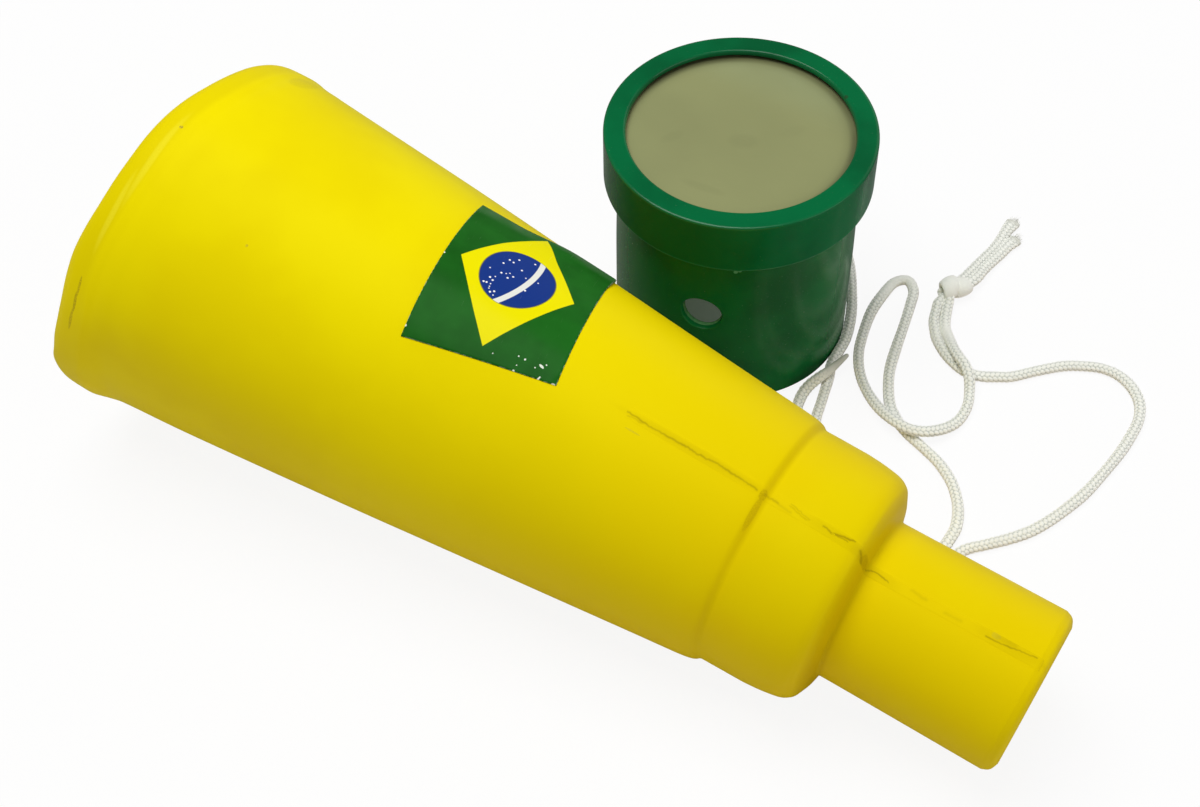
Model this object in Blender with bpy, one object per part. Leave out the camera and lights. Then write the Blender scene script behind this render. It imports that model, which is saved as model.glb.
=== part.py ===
"""Stadium horn: a blow-moulded horn tube lying on the floor, its sounding head, and the lanyard.

Metres, +Z up, the floor at z = 0. The horn lies along +X with its mouth at -X, and the head stands
behind it on its own open end. The origin is under the middle of the two together.
"""
import math
import bmesh
import bpy
from mathutils import Matrix, Vector

MM = 0.001

# Horn tube: its stations run along its own axis, from the mouth to the tip
mouth_radius = 53.4 * MM
lip_proud = 0.5 * MM
lip_length = 15.0 * MM
lip_crest = 4.8 * MM
lip_turn_in = 3.2 * MM
mouth_slant = 5.3 * MM
slant_turn = math.radians(48)
horn_wall = 1.5 * MM
cone_length = 183.2 * MM
cone_end_radius = 34.9 * MM
collar_radius = 33.2 * MM
collar_length = 30.6 * MM
shoulder_round = 9.0 * MM
neck_radius = 22.2 * MM
neck_length = 49.6 * MM
tip_round = 3.0 * MM
mouth_place = (-127.3 * MM, -39.8 * MM)
horn_segments = 72

# Sounding head: open end down on the floor, membrane up
head_place = (-3.1 * MM, 54.7 * MM)
head_wall = 1.3 * MM
bore_clearance = 0.2 * MM
ledge_height = 28.0 * MM
ledge_depth = 1.2 * MM
body_height = 73.1 * MM
blow_hole_diameter = 12.0 * MM
blow_hole_height = 35.8 * MM
blow_hole_azimuth = math.radians(-77)
head_segments = 64

# Cap ring pressed over the body, and the membrane under its lip
cap_wall = 3.5 * MM
cap_height = 16.7 * MM
cap_lip = 2.3 * MM
cap_lip_reach = 2.4 * MM
cap_draft = 0.8 * MM
edge_round = 0.7 * MM
membrane_thickness = 0.4 * MM

# Flag sticker: its long side runs round the cone, turned a little off square
sticker_long = 57.0 * MM
sticker_short = 41.5 * MM
sticker_thickness = 0.2 * MM
sticker_station = 101.1 * MM
sticker_turn = math.radians(-100.7)
sticker_askew = math.radians(10.9)

# Lanyard of braided cord
cord_diameter = 3.2 * MM
cord_hole_diameter = 4.0 * MM
cord_hole_height = 46.0 * MM
cord_hole_azimuth = math.radians(112)
stopper_radius = 4.0 * MM
knot_size = (6.0 * MM, 5.2 * MM, 4.5 * MM)
knot_place = (54.2 * MM, 94.6 * MM, 4.65 * MM)
cord_spacing = 10.0 * MM

# Clearance between pieces that touch on the real horn
seat_gap = 0.3 * MM

bore_radius = collar_radius + bore_clearance
body_radius = bore_radius + head_wall
step_station = cone_length
tip_station = cone_length + collar_length + neck_length
cap_bore = body_radius + seat_gap
cap_radius = cap_bore + cap_wall
cap_opening_radius = cap_bore - cap_lip_reach
membrane_base = body_height + seat_gap
cap_top = membrane_base + membrane_thickness + seat_gap + cap_lip

# Lanyard routes in millimetres: chosen points of the centreline
HEAD_RUN = [
    (-19.2, 94.4, 44.9), (-20.2, 97.2, 41.6), (-20.6, 98.6, 37.5), (-20.6, 99.4, 30.0),
    (-19.9, 99.9, 21.0), (-18.0, 101.2, 12.5), (-14.6, 103.2, 6.2), (-9.0, 105.3, 2.8),
    (-2.0, 105.6, 1.7), (6.0, 103.0, 1.7), (13.5, 97.5, 1.7), (18.6, 91.6, 1.7),
    (22.4, 86.2, 1.7), (26.5, 78.9, 1.7), (30.3, 70.8, 1.7), (33.2, 61.8, 1.7),
    (33.9, 54.5, 1.7), (34.4, 49.8, 1.7), (36.0, 45.0, 1.7), (37.6, 39.0, 1.7),
    (38.9, 33.7, 1.7), (40.1, 29.0, 1.7), (43.2, 21.5, 1.7), (48.5, 13.5, 1.7),
    (56.0, 6.8, 1.7), (65.0, 2.4, 1.7), (74.5, 0.4, 1.7), (83.0, 0.2, 1.7),
    (88.8, 2.4, 1.7), (91.6, 6.4, 1.7), (92.1, 11.0, 1.7), (91.7, 15.9, 1.7),
    (89.1, 22.2, 1.7), (84.4, 28.3, 1.7), (78.4, 32.8, 1.7), (72.5, 35.4, 1.7),
    (67.0, 37.4, 1.7), (63.0, 39.4, 1.7), (59.4, 42.0, 1.7), (56.5, 44.9, 1.7),
    (53.3, 50.2, 1.7), (50.3, 57.2, 1.7), (48.1, 65.9, 1.7), (46.2, 74.9, 1.7),
    (44.1, 83.9, 1.7), (42.4, 89.6, 1.7), (38.9, 92.5, 1.7), (35.8, 89.6, 1.7),
    (35.0, 83.4, 1.7), (35.1, 75.2, 1.7), (36.9, 66.0, 1.7), (39.3, 58.3, 1.7),
    (43.0, 51.7, 1.7), (48.2, 46.0, 2.2), (54.6, 40.9, 3.9), (61.5, 37.8, 5.4),
    (67.0, 37.6, 5.5), (71.3, 40.2, 4.7), (74.7, 45.2, 3.0), (76.3, 50.4, 1.9),
    (76.2, 56.2, 2.2), (75.0, 60.5, 4.1), (72.2, 64.8, 5.5), (67.4, 70.1, 5.4),
    (62.3, 75.4, 3.4), (57.9, 81.2, 2.3), (55.7, 85.6, 3.0), (55.0, 88.4, 3.9)]
TAIL_RUN = [
    (38.3, 52.6, 7.1), (37.1, 48.8, 6.3), (35.9, 45.2, 5.5), (34.4, 41.9, 4.6),
    (32.8, 38.6, 3.0), (32.3, 35.3, 1.9), (33.0, 31.0, 1.7), (35.2, 23.5, 1.7),
    (40.3, 13.5, 1.7), (48.0, 4.5, 1.7), (57.5, -2.3, 1.7), (68.0, -6.2, 1.7),
    (79.0, -7.2, 1.7), (88.0, -4.6, 1.7), (93.6, 1.2, 1.7), (97.2, 9.0, 1.7),
    (101.6, 13.9, 1.7), (106.0, 18.7, 1.7), (110.2, 24.2, 1.7), (113.4, 30.4, 1.7),
    (116.1, 37.5, 1.7), (118.3, 44.7, 1.7), (119.9, 53.3, 1.7), (121.2, 62.7, 1.7),
    (121.6, 70.2, 1.7), (121.3, 77.4, 1.7), (119.2, 83.5, 1.7), (115.1, 88.0, 1.7),
    (109.9, 90.4, 1.7), (104.5, 90.4, 1.7), (99.2, 88.3, 1.7), (94.1, 85.2, 1.7),
    (88.1, 79.4, 1.7), (82.8, 73.7, 1.7), (77.2, 70.3, 1.7), (72.6, 68.4, 1.7),
    (68.7, 67.4, 1.7), (64.8, 68.1, 1.7), (59.1, 71.4, 1.7), (54.6, 75.5, 1.7),
    (51.5, 81.5, 1.9), (50.6, 85.2, 2.6), (50.8, 88.0, 3.6)]
LONG_END = [
    (54.6, 100.6, 4.4), (56.0, 107.8, 3.1), (57.1, 119.5, 1.8), (57.8, 132.7, 1.7)]
SHORT_END = [
    (58.3, 99.6, 4.0), (59.9, 107.2, 2.7), (61.0, 116.9, 1.8), (61.9, 127.3, 1.7)]


def material(name, colour, roughness, metallic=0.0):
    """A plain Principled material."""
    result = bpy.data.materials.new(name)
    result.use_nodes = True
    shader = result.node_tree.nodes["Principled BSDF"]
    shader.inputs["Base Color"].default_value = (*colour, 1.0)
    shader.inputs["Roughness"].default_value = roughness
    shader.inputs["Metallic"].default_value = metallic
    result.diffuse_color = (*colour, 1.0)
    return result


def link_mesh(name, bm, look, parent=None):
    """Turn a bmesh into a named object with outward faces."""
    bmesh.ops.recalc_face_normals(bm, faces=bm.faces)
    mesh = bpy.data.meshes.new(name)
    bm.to_mesh(mesh)
    bm.free()
    mesh.materials.append(look)
    result = bpy.data.objects.new(name, mesh)
    bpy.context.scene.collection.objects.link(result)
    result.parent = parent
    return result


def spin_ring(profile, segments):
    """Spin a closed profile of (radius, height) points round Z into a ring-shaped body."""
    bm = bmesh.new()
    points = [bm.verts.new((radius, 0.0, height)) for radius, height in profile]
    edges = [bm.edges.new((points[i - 1], points[i])) for i in range(len(points))]
    bmesh.ops.spin(bm, geom=points + edges, cent=(0, 0, 0), axis=(0, 0, 1),
                   angle=math.tau, steps=segments, use_merge=True)
    bmesh.ops.remove_doubles(bm, verts=bm.verts, dist=1e-6)
    return bm


def arc(centre, radius, start, end, steps):
    """Points of a round corner in the profile plane, from one angle in degrees to another."""
    result = []
    for i in range(steps + 1):
        angle = math.radians(start + (end - start) * i / steps)
        result.append((centre[0] + radius * math.cos(angle), centre[1] + radius * math.sin(angle)))
    return result


def empty(name, place, turn=None):
    """An empty that carries pieces."""
    result = bpy.data.objects.new(name, None)
    bpy.context.scene.collection.objects.link(result)
    result.empty_display_size = 0.01
    basis = turn if turn else Matrix.Identity(3)
    result.matrix_world = Matrix.Translation(place) @ basis.to_4x4()
    return result


# Horn tube

def cone_radius(station):
    """Outer radius of the plain cone at a station, from the lip to the collar."""
    share = station / cone_length
    return mouth_radius + (cone_end_radius - mouth_radius) * share


def slant_shift(station, turn):
    """How far the slanted mouth moves a point along the axis; it fades out at the collar."""
    fade = max(0.0, 1.0 - station / step_station)
    return -mouth_slant * fade * math.cos(turn - slant_turn)


def horn_outside():
    """Outer profile of the horn as (radius, station), from the mouth edge to the tip edge."""
    crest = mouth_radius + lip_proud
    step = cone_end_radius - collar_radius
    shoulder = cone_length + collar_length
    barrel = collar_radius - 0.004 * collar_length
    profile = [(crest - lip_turn_in, 0.0)]
    profile.append((crest - 0.40 * lip_turn_in, 0.25 * lip_turn_in))
    profile.append((crest - 0.12 * lip_turn_in, 0.7 * lip_turn_in))
    profile.append((crest, lip_crest))
    profile.append((crest - 0.4 * lip_proud, 0.5 * (lip_crest + lip_length)))
    profile.append((cone_radius(lip_length), lip_length))
    profile.append((cone_radius(0.5 * cone_length), 0.5 * cone_length))
    profile.append((cone_end_radius, cone_length - 0.6 * step))
    profile.append((cone_end_radius - 0.3 * step, cone_length))
    profile.append((barrel, cone_length + 0.9 * step))
    profile.append((collar_radius, cone_length + 0.45 * collar_length))
    profile += arc((collar_radius - shoulder_round, shoulder - shoulder_round),
                   shoulder_round, 0, 75, 5)
    profile.append((neck_radius + 0.8 * MM, shoulder))
    profile.append((neck_radius, shoulder + 1.2 * MM))
    profile += arc((neck_radius - tip_round, tip_station - tip_round), tip_round, 0, 90, 4)
    return profile


def horn_inside():
    """Inner profile of the horn, from the tip edge back to the mouth edge."""
    shoulder = cone_length + collar_length
    neck_bore = neck_radius - horn_wall
    tip_bore = neck_radius - tip_round - 0.4 * MM
    profile = [(tip_bore, tip_station)]
    profile.append((tip_bore, tip_station - 1.2 * MM))
    profile.append((neck_bore, tip_station - 4.0 * MM))
    profile.append((neck_bore, shoulder - horn_wall))
    profile += arc((collar_radius - shoulder_round, shoulder - shoulder_round),
                   shoulder_round - horn_wall, 60, 0, 3)
    profile.append((collar_radius - horn_wall, cone_length + 0.45 * collar_length))
    profile.append((collar_radius - horn_wall - 0.1 * MM, cone_length))
    profile.append((cone_end_radius - horn_wall, cone_length - 3.0 * MM))
    profile.append((cone_radius(0.5 * cone_length) - horn_wall, 0.5 * cone_length))
    profile.append((cone_radius(lip_length) - horn_wall, lip_length))
    profile.append((mouth_radius - lip_turn_in, lip_turn_in))
    return profile


def lie_of_horn():
    """Tilt and height at which the horn lies: its mouth lip and its collar both touch the floor."""
    turns = [math.tau * i / horn_segments for i in range(horn_segments)]
    outside = horn_outside()
    mouth = [point for point in outside if point[1] <= lip_length]
    collar = [point for point in outside if cone_length < point[1] <= cone_length + collar_length]

    def depth(points, tilt):
        lows = []
        for radius, station in points:
            for turn in turns:
                along = station + slant_shift(station, turn)
                lows.append(math.sin(tilt) * along + math.cos(tilt) * radius * math.sin(turn))
        return max(lows)

    low, high = 0.0, math.radians(20)
    for _ in range(40):
        middle = 0.5 * (low + high)
        if depth(collar, middle) > depth(mouth, middle):
            high = middle
        else:
            low = middle
    return low, depth(mouth, low)


horn_tilt, axis_height = lie_of_horn()


def horn_basis():
    """Axes of the lying horn: local Z along its axis, local X to the -Y side, local Y downwards."""
    axis = Vector((math.cos(horn_tilt), 0.0, -math.sin(horn_tilt)))
    side = Vector((0.0, -1.0, 0.0))
    return Matrix((side, axis.cross(side), axis)).transposed()


def build_horn():
    """The horn tube, open at both ends."""
    yellow = material("horn_plastic", (0.86, 0.73, 0.01), 0.34)
    frame = empty("horn_frame", (mouth_place[0], mouth_place[1], axis_height), horn_basis())
    bm = spin_ring(horn_outside() + horn_inside(), horn_segments)
    for vert in bm.verts:
        turn = math.atan2(vert.co.y, vert.co.x)
        vert.co.z += slant_shift(vert.co.z, turn)
    link_mesh("horn_tube", bm, yellow, frame)
    return frame


def build_sticker(frame):
    """The flag sticker, bent round the cone and turned a little off square."""
    print_look = material("sticker_vinyl", (0.03, 0.15, 0.03), 0.3)
    columns, rows = 20, 10
    middle = cone_radius(sticker_station)
    bm = bmesh.new()
    layers = []
    for layer in range(2):
        lift = seat_gap + layer * sticker_thickness
        grid = []
        for j in range(rows + 1):
            for i in range(columns + 1):
                across = (i / columns - 0.5) * sticker_long
                along = (j / rows - 0.5) * sticker_short
                round_way = across * math.cos(sticker_askew) + along * math.sin(sticker_askew)
                axis_way = along * math.cos(sticker_askew) - across * math.sin(sticker_askew)
                station = sticker_station + axis_way
                radius = cone_radius(station) + lift
                turn = sticker_turn - round_way / middle
                height = station + slant_shift(station, turn)
                grid.append(bm.verts.new((radius * math.cos(turn), radius * math.sin(turn), height)))
        layers.append(grid)
    wide = columns + 1
    for grid in layers:
        for j in range(rows):
            for i in range(columns):
                a = j * wide + i
                bm.faces.new((grid[a], grid[a + 1], grid[a + wide + 1], grid[a + wide]))
    border = list(range(wide)) + [j * wide + columns for j in range(1, rows + 1)]
    border += [rows * wide + i for i in range(columns - 1, -1, -1)]
    border += [j * wide for j in range(rows - 1, 0, -1)]
    for k, a in enumerate(border):
        b = border[(k + 1) % len(border)]
        bm.faces.new((layers[0][a], layers[0][b], layers[1][b], layers[1][a]))
    link_mesh("flag_sticker", bm, print_look, frame)


# Sounding head

def head_point(radius, azimuth, height):
    """A point of the head from its own axis, in the head's frame."""
    return Vector((radius * math.cos(azimuth), radius * math.sin(azimuth), height))


def drill(target, name, diameter, azimuth, height, parent):
    """Cut a round hole through the body's wall, square to it."""
    reach = 6 * head_wall
    bm = bmesh.new()
    bmesh.ops.create_cone(bm, cap_ends=True, segments=24, radius1=diameter / 2,
                          radius2=diameter / 2, depth=2 * reach)
    cutter = link_mesh(name, bm, target.data.materials[0], parent)
    cutter.location = head_point(body_radius - ledge_depth, azimuth, height)
    cutter.rotation_euler = (0.0, math.pi / 2, azimuth)
    cutter.hide_render = True
    cutter.display_type = 'WIRE'
    cut = target.modifiers.new(name, 'BOOLEAN')
    cut.operation = 'DIFFERENCE'
    cut.solver = 'EXACT'
    cut.object = cutter


def build_head():
    """The body of the head: a sleeve with a ledge inside that stops the horn's collar."""
    green = material("head_plastic", (0.01, 0.06, 0.02), 0.3)
    frame = empty("head_frame", (head_place[0], head_place[1], 0.0))
    chamber = bore_radius - ledge_depth
    profile = [(bore_radius, 0.0), (body_radius - 0.3 * MM, 0.0), (body_radius, 0.3 * MM)]
    profile += [(body_radius, body_height - 0.4 * MM), (body_radius - 0.4 * MM, body_height)]
    profile += [(chamber, body_height), (chamber, ledge_height + ledge_depth), (bore_radius, ledge_height)]
    body = link_mesh("head_body", spin_ring(profile, head_segments), green, frame)
    drill(body, "blow_hole_cutter", blow_hole_diameter, blow_hole_azimuth, blow_hole_height, frame)
    drill(body, "cord_hole_cutter", cord_hole_diameter, cord_hole_azimuth, cord_hole_height, frame)
    return frame


def build_cap(frame):
    """The cap ring: a skirt over the body and a lip that holds the membrane's edge."""
    green = material("cap_plastic", (0.0, 0.13, 0.03), 0.22)
    foot = cap_top - cap_height
    profile = [(cap_bore, foot), (cap_radius - 0.4 * MM, foot), (cap_radius, foot + 0.4 * MM)]
    profile += arc((cap_radius - edge_round, cap_top - edge_round), edge_round, 0, 90, 3)
    profile += arc((cap_opening_radius + 0.4 * MM, cap_top - 0.4 * MM), 0.4 * MM, 90, 180, 2)
    profile += [(cap_opening_radius - cap_draft, cap_top - cap_lip), (cap_bore, cap_top - cap_lip)]
    link_mesh("cap_ring", spin_ring(profile, head_segments), green, frame)


def build_membrane(frame):
    """The thin sounding membrane, clamped between the body's rim and the cap's lip."""
    film = material("membrane_film", (0.29, 0.31, 0.15), 0.35)
    bm = bmesh.new()
    radius = body_radius - 0.3 * MM
    bmesh.ops.create_cone(bm, cap_ends=True, segments=head_segments, radius1=radius,
                          radius2=radius, depth=membrane_thickness)
    bmesh.ops.translate(bm, verts=bm.verts, vec=(0, 0, membrane_base + membrane_thickness / 2))
    link_mesh("membrane", bm, film, frame)


# Lanyard

def smooth_route(points, spacing):
    """Points at even spacing along a smooth curve through the chosen points."""
    ends = [2 * points[0] - points[1]] + points + [2 * points[-1] - points[-2]]
    fine = []
    for a, b, c, d in zip(ends, ends[1:], ends[2:], ends[3:]):
        for i in range(12):
            t = i / 12
            fine.append(0.5 * (2 * b + (c - a) * t + (2 * a - 5 * b + 4 * c - d) * t ** 2
                               + (3 * b - a - 3 * c + d) * t ** 3))
    fine.append(points[-1])
    lengths = [0.0]
    for a, b in zip(fine, fine[1:]):
        lengths.append(lengths[-1] + (b - a).length)
    count = max(2, round(lengths[-1] / spacing))
    result = []
    k = 0
    for i in range(count + 1):
        goal = lengths[-1] * i / count
        while k < len(fine) - 2 and lengths[k + 1] < goal:
            k += 1
        share = (goal - lengths[k]) / max(lengths[k + 1] - lengths[k], 1e-9)
        result.append(fine[k].lerp(fine[k + 1], min(share, 1.0)))
    return result, lengths[-1]


def cord(name, points, look, parent=None):
    """One free stretch of cord as a bevelled curve; its first and last steps stay straight."""
    route, length = points, (points[-1] - points[0]).length
    if len(points) > 3:
        middle, length = smooth_route(points[1:-1], cord_spacing)
        length += (points[1] - points[0]).length + (points[-1] - points[-2]).length
        route = [points[0]] + middle + [points[-1]]
    curve = bpy.data.curves.new(name, 'CURVE')
    curve.dimensions = '3D'
    curve.bevel_depth = cord_diameter / 2
    curve.bevel_resolution = 2
    curve.use_fill_caps = True
    spline = curve.splines.new('POLY')
    spline.points.add(len(route) - 1)
    for point, place in zip(spline.points, route):
        point.co = (*place, 1.0)
    curve.materials.append(look)
    result = bpy.data.objects.new(name, curve)
    bpy.context.scene.collection.objects.link(result)
    result.parent = parent
    print(name, "is", round(length * 1000), "mm long with", len(route), "points")
    return result


def ball(name, size, place, look, parent=None):
    """A plain knot: a ball stretched to the knot's three half sizes."""
    bm = bmesh.new()
    bmesh.ops.create_uvsphere(bm, u_segments=20, v_segments=12, radius=1.0)
    bmesh.ops.scale(bm, vec=size, verts=bm.verts)
    result = link_mesh(name, bm, look, parent)
    result.location = place
    return result


def build_lanyard(frame):
    """The lanyard: two lengths of cord joined by a knot, one held in the head's wall."""
    white = material("lanyard_cord", (0.76, 0.78, 0.70), 0.75)
    knot_look = material("knot_cord", (0.74, 0.76, 0.68), 0.75)
    chamber = bore_radius - ledge_depth
    stub_end = body_radius + 1.7 * MM
    stopper = chamber - seat_gap - stopper_radius
    stub = [head_point(stopper + stopper_radius + seat_gap, cord_hole_azimuth, cord_hole_height),
            head_point(stub_end, cord_hole_azimuth, cord_hole_height)]
    cord("cord_stub", stub, white, parent=frame)
    ball("stopper_knot", (stopper_radius,) * 3,
         head_point(stopper, cord_hole_azimuth, cord_hole_height), knot_look, frame)
    start = Vector((*head_place, 0.0))
    start += head_point(stub_end + seat_gap, cord_hole_azimuth, cord_hole_height)
    square_out = head_point(0.8 * cord_diameter, cord_hole_azimuth, 0.0)
    millimetres = {"cord_head_run": HEAD_RUN, "cord_tail_run": TAIL_RUN,
                   "cord_end_long": LONG_END, "cord_end_short": SHORT_END}
    for name, chosen in millimetres.items():
        points = [Vector(point) * MM for point in chosen]
        if name == "cord_head_run":
            points = [start, start + square_out] + points
        cord(name, points, white)
    ball("cord_knot", knot_size, knot_place, knot_look)


def build():
    for old in list(bpy.data.objects):
        bpy.data.objects.remove(old, do_unlink=True)
    build_sticker(build_horn())
    head = build_head()
    build_cap(head)
    build_membrane(head)
    build_lanyard(head)


build()
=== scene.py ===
"""Stadium horn: the lying horn tube, its sounding head with the membrane, and the braided lanyard.

Metres, +Z up, the floor at z = 0. Shapes are worked out in millimetres on numpy grids and scaled as
they go into the mesh. The horn tube is described by stations along its own axis, from the mouth to
the tip, and turns round it; the head by azimuths round its own upright axis.
"""
import math

import bmesh
import bpy
import numpy as np
from bpy.props import FloatProperty, FloatVectorProperty, IntProperty, PointerProperty
from mathutils import Matrix


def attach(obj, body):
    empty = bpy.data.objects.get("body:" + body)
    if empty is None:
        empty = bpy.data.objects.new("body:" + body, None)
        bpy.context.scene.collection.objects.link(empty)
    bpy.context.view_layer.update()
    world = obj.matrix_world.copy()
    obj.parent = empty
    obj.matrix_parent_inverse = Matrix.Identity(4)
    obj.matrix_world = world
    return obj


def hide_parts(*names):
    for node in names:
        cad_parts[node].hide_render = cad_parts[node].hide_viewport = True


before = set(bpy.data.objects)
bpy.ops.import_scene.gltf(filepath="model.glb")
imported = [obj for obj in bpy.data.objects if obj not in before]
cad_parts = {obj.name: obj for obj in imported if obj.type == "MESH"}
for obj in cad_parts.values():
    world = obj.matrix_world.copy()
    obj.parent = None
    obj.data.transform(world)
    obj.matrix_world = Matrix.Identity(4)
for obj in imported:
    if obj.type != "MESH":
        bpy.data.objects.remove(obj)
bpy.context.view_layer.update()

bl_info = {
    "name": "Stadium horn",
    "version": (1, 0, 0),
    "blender": (4, 5, 0),
    "location": "3D View > Sidebar > Stadium horn",
    "description": "Makes the horn tube, the sounding head, the lanyard and their stage",
    "category": "Object",
}

MM = 0.001

# Places and sizes shared by several pieces, in millimetres
MOUTH_PLACE = np.array([-127.3, -39.8, 54.0501])
HORN_TILT = math.radians(5.892584)
SLANT = 5.3
SLANT_TURN = math.radians(48)
STEP = 183.2
MOUTH_RADIUS = 53.4
STEP_RADIUS = 34.9
HEAD_PLACE = np.array([-3.1, 54.7, 0.0])
SLEEVE_RADIUS = 34.7
SLEEVE_FLARE = 0.4
BORE_RADIUS = 33.4
LEDGE_RADIUS = 32.2
LEDGE_FOOT = 28.0
BODY_HEIGHT = 73.1
FILM_RADIUS, FILM_FOOT, FILM_TOP = 34.4, 73.42, 73.74
BLOW_HOLE = (math.radians(-77), 35.8, 6.0)
CORD_HOLE = (math.radians(112), 46.0, 2.0)
CAP_TOP = 76.4
CAP_FOOT = 59.45
SEAM_TURN = math.radians(-77.0)
LABEL_PLACE = (101.8, math.radians(-98.9), math.radians(11.9))
LABEL_HALF = (25.4, 20.5)
CORD_LYING = 1.7
CORD_LOWEST = 0.03
STITCH_PITCH = 1.45
STITCH_COLUMNS = 6

# The camera: its place, its level right and its up before a small roll
CAMERA_PLACE = np.array([177.59, -304.62, 455.43])
CAMERA_RIGHT = np.array([0.84309, 0.53777, 0.0])
CAMERA_UP = np.array([-0.42012, 0.65865, 0.62424])
CAMERA_ROLL = -0.01976

# Maps: millimetres to a unit, the share where the horn's inside begins, the label's middle
HORN_MAP = 300.0
HORN_INSIDE = 0.9
LABEL_MAP = 100.0
LABEL_MIDDLE = (30, 22)

# The lip, by turn in degrees: how far it stands forward and how much wider it is
LIP = [(-180, 1.6, -0.4), (-160, 1.8, -0.65), (-146, 2.0, -0.75), (-134, 2.35, -0.7),
       (-123, 2.0, -0.6), (-112, 1.5, -0.45), (-101, 1.55, -0.35), (-92, 2.05, -0.3),
       (-84, 2.2, -0.2), (-76, 1.95, -0.15), (-68, 1.4, -0.1), (-60, 1.1, -0.05),
       (-52, 0.9, 0.0), (-44, 1.2, 0.0), (-36, 1.4, 0.0), (-28, 0.95, 0.05), (-20, 0.55, 0.05),
       (-12, 0.85, 0.05), (-5, 1.6, 0.15), (2, 2.3, 0.35), (9, 3.6, 0.5), (16, 3.8, 0.5),
       (24, 3.8, 0.25), (34, 3.05, -0.7), (48, 1.8, -0.7), (70, 0.8, -0.3), (100, 0.6, -0.15),
       (140, 0.9, -0.2), (180, 1.6, -0.4)]

# The moulding's bends, by station: wider, further back (+Y) and higher
BENDS = [(0, 0.0, -0.1, 0.0), (14, 0.05, -0.2, 0.0), (30, 0.25, -0.25, 0.0),
         (45, 0.45, -0.15, 0.0), (65, 0.6, -0.05, 0.0), (90, 0.6, 0.0, 0.0),
         (110, 0.5, 0.1, 0.0), (140, 0.4, 0.25, 0.05), (183, 0.35, 0.4, 0.2),
         (200, 0.2, 0.35, 0.2), (218, 0.1, 0.3, 0.2), (240, 0.2, 0.3, 0.2), (258, 0.3, 0.3, 0.15),
         (266, 0.3, 0.3, 0.15)]

# Pieces of the upper seam: height, darkness, half width, then (station, across) points
SEAM_LINES = [
    (-0.02, 0.62, 0.21, [(145.5, 0.0), (148, 0.1), (152, 0.4), (157.7, 0.3), (164, 0.15),
                         (166.1, 0.4), (166.9, 0.1), (168.7, 0.2), (171.3, -0.15), (176, 0.1),
                         (180, 0.25), (183.3, 0.35)]),
    (0.0, 0.30, 0.18, [(146.3, 1.0), (147.3, 0.6), (149.5, 0.8), (151, 0.5)]),
    (0.10, 0.0, 0.20, [(184.6, 0.45), (187.0, 0.25)]),
    (-0.03, 0.45, 0.24, [(185.5, 0.15), (187.5, 0.2), (189.3, 0.4)]),
    (0.0, 0.22, 0.30, [(189.3, 0.4), (193.0, 0.9)]),
    (0.12, 0.0, 0.18, [(192.3, -0.9), (194.7, -0.3), (197.5, 0.3)]),
    (-0.03, 0.35, 0.16, [(192.2, -1.2), (194.9, -0.6), (197.9, 0.1)]),
    (-0.03, 0.20, 0.16, [(192.0, -0.6), (194.4, 0.0), (197.2, 0.6)]),
    (-0.04, 0.85, 0.22, [(201.6, -0.4), (202.8, -0.2), (204.2, 0.15), (206.6, -0.6),
                         (208.6, -1.0), (209.8, -1.4)]),
    (-0.03, 0.60, 0.14, [(204.2, 0.15), (206.2, -0.1), (208.4, -0.3)]),
    (0.08, 0.0, 0.14, [(205.2, -0.1), (208.0, -0.6)]),
    (-0.04, 0.60, 0.26, [(212.0, -0.4), (212.7, 0.3), (213.2, 1.3)]),
    (-0.03, 0.80, 0.16, [(214.6, 0.7), (215.8, -0.2), (217.2, -0.3), (218.6, -0.2),
                         (220.8, 0.4)]),
    (0.05, 0.0, 0.15, [(216.4, 0.1), (219.0, 0.1)]),
    (0.0, 0.18, 0.35, [(226.6, -0.8), (230.8, -0.3)]),
    (0.0, 0.16, 0.35, [(236.2, 0.3), (240.5, 0.1)]),
    (-0.03, 0.65, 0.16, [(247.4, 0.4), (250.4, 0.35), (252.4, 0.1), (255.6, -0.4),
                         (258.6, -0.75), (260.3, -1.0)]),
    (0.0, 0.20, 0.60, [(250.0, -0.9), (254.6, -1.2)])]

# Painted shade of the shallow dip along the upper seam, as soft dark bands: (turn in degrees,
# station), half sizes, share
SEAM_SHADE_BANDS = [((-76.8, 166.0), (2.0, 20.0), 0.30), ((-77.0, 206.0), (2.6, 9.0), 0.24),
              ((-76.5, 217.0), (3.0, 6.0), 0.26), ((-77.6, 254.0), (3.0, 9.0), 0.26)]

# Painted highlights: pale lines behind the lip, (turn, station), half sizes, lean
LIP_HIGHLIGHTS = [((-71.0, 6.7), (14.0, 0.85), 0.033), ((-52.0, 6.0), (11.0, 0.75), 0.07)]

# Marks on the horn, and one band of painted shade along the step: (turn, station), half sizes,
# lean, colour
HORN_MARKS_AND_STEP_SHADE = [
    ((-28.0, 6.15), (3.2, 0.34), 0.012, (0.50, 0.38, 0.01)),
    ((-22.5, 5.85), (3.4, 0.42), 0.022, (0.45, 0.34, 0.01)),
    ((-16.0, 5.6), (4.0, 0.44), 0.010, (0.56, 0.43, 0.01)),
    ((-128.0, 14.0), (7.0, 3.0), 0.0, (0.78, 0.65, 0.004)),
    ((-82.2, 7.2), (0.5, 0.5), 0.0, (0.36, 0.27, 0.05)),
    ((-61.9, 40.0), (0.45, 0.4), 0.0, (0.60, 0.48, 0.03)),
    ((-76.0, 185.2), (2.4, 0.9), 0.0, (0.58, 0.42, 0.002)),
    # Painted shade along the step on its upper side, not a mark
    ((-67.0, 185.3), (8.0, 0.8), 0.0, (0.62, 0.45, 0.002)),
    ((-76.4, 213.6), (2.8, 0.8), 0.0, (0.56, 0.40, 0.002)),
    ((-71.4, 149.5), (0.35, 2.2), 0.0, (0.66, 0.54, 0.02)),
    ((-78.4, 249.5), (1.2, 1.2), 0.0, (0.68, 0.55, 0.02))]

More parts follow.
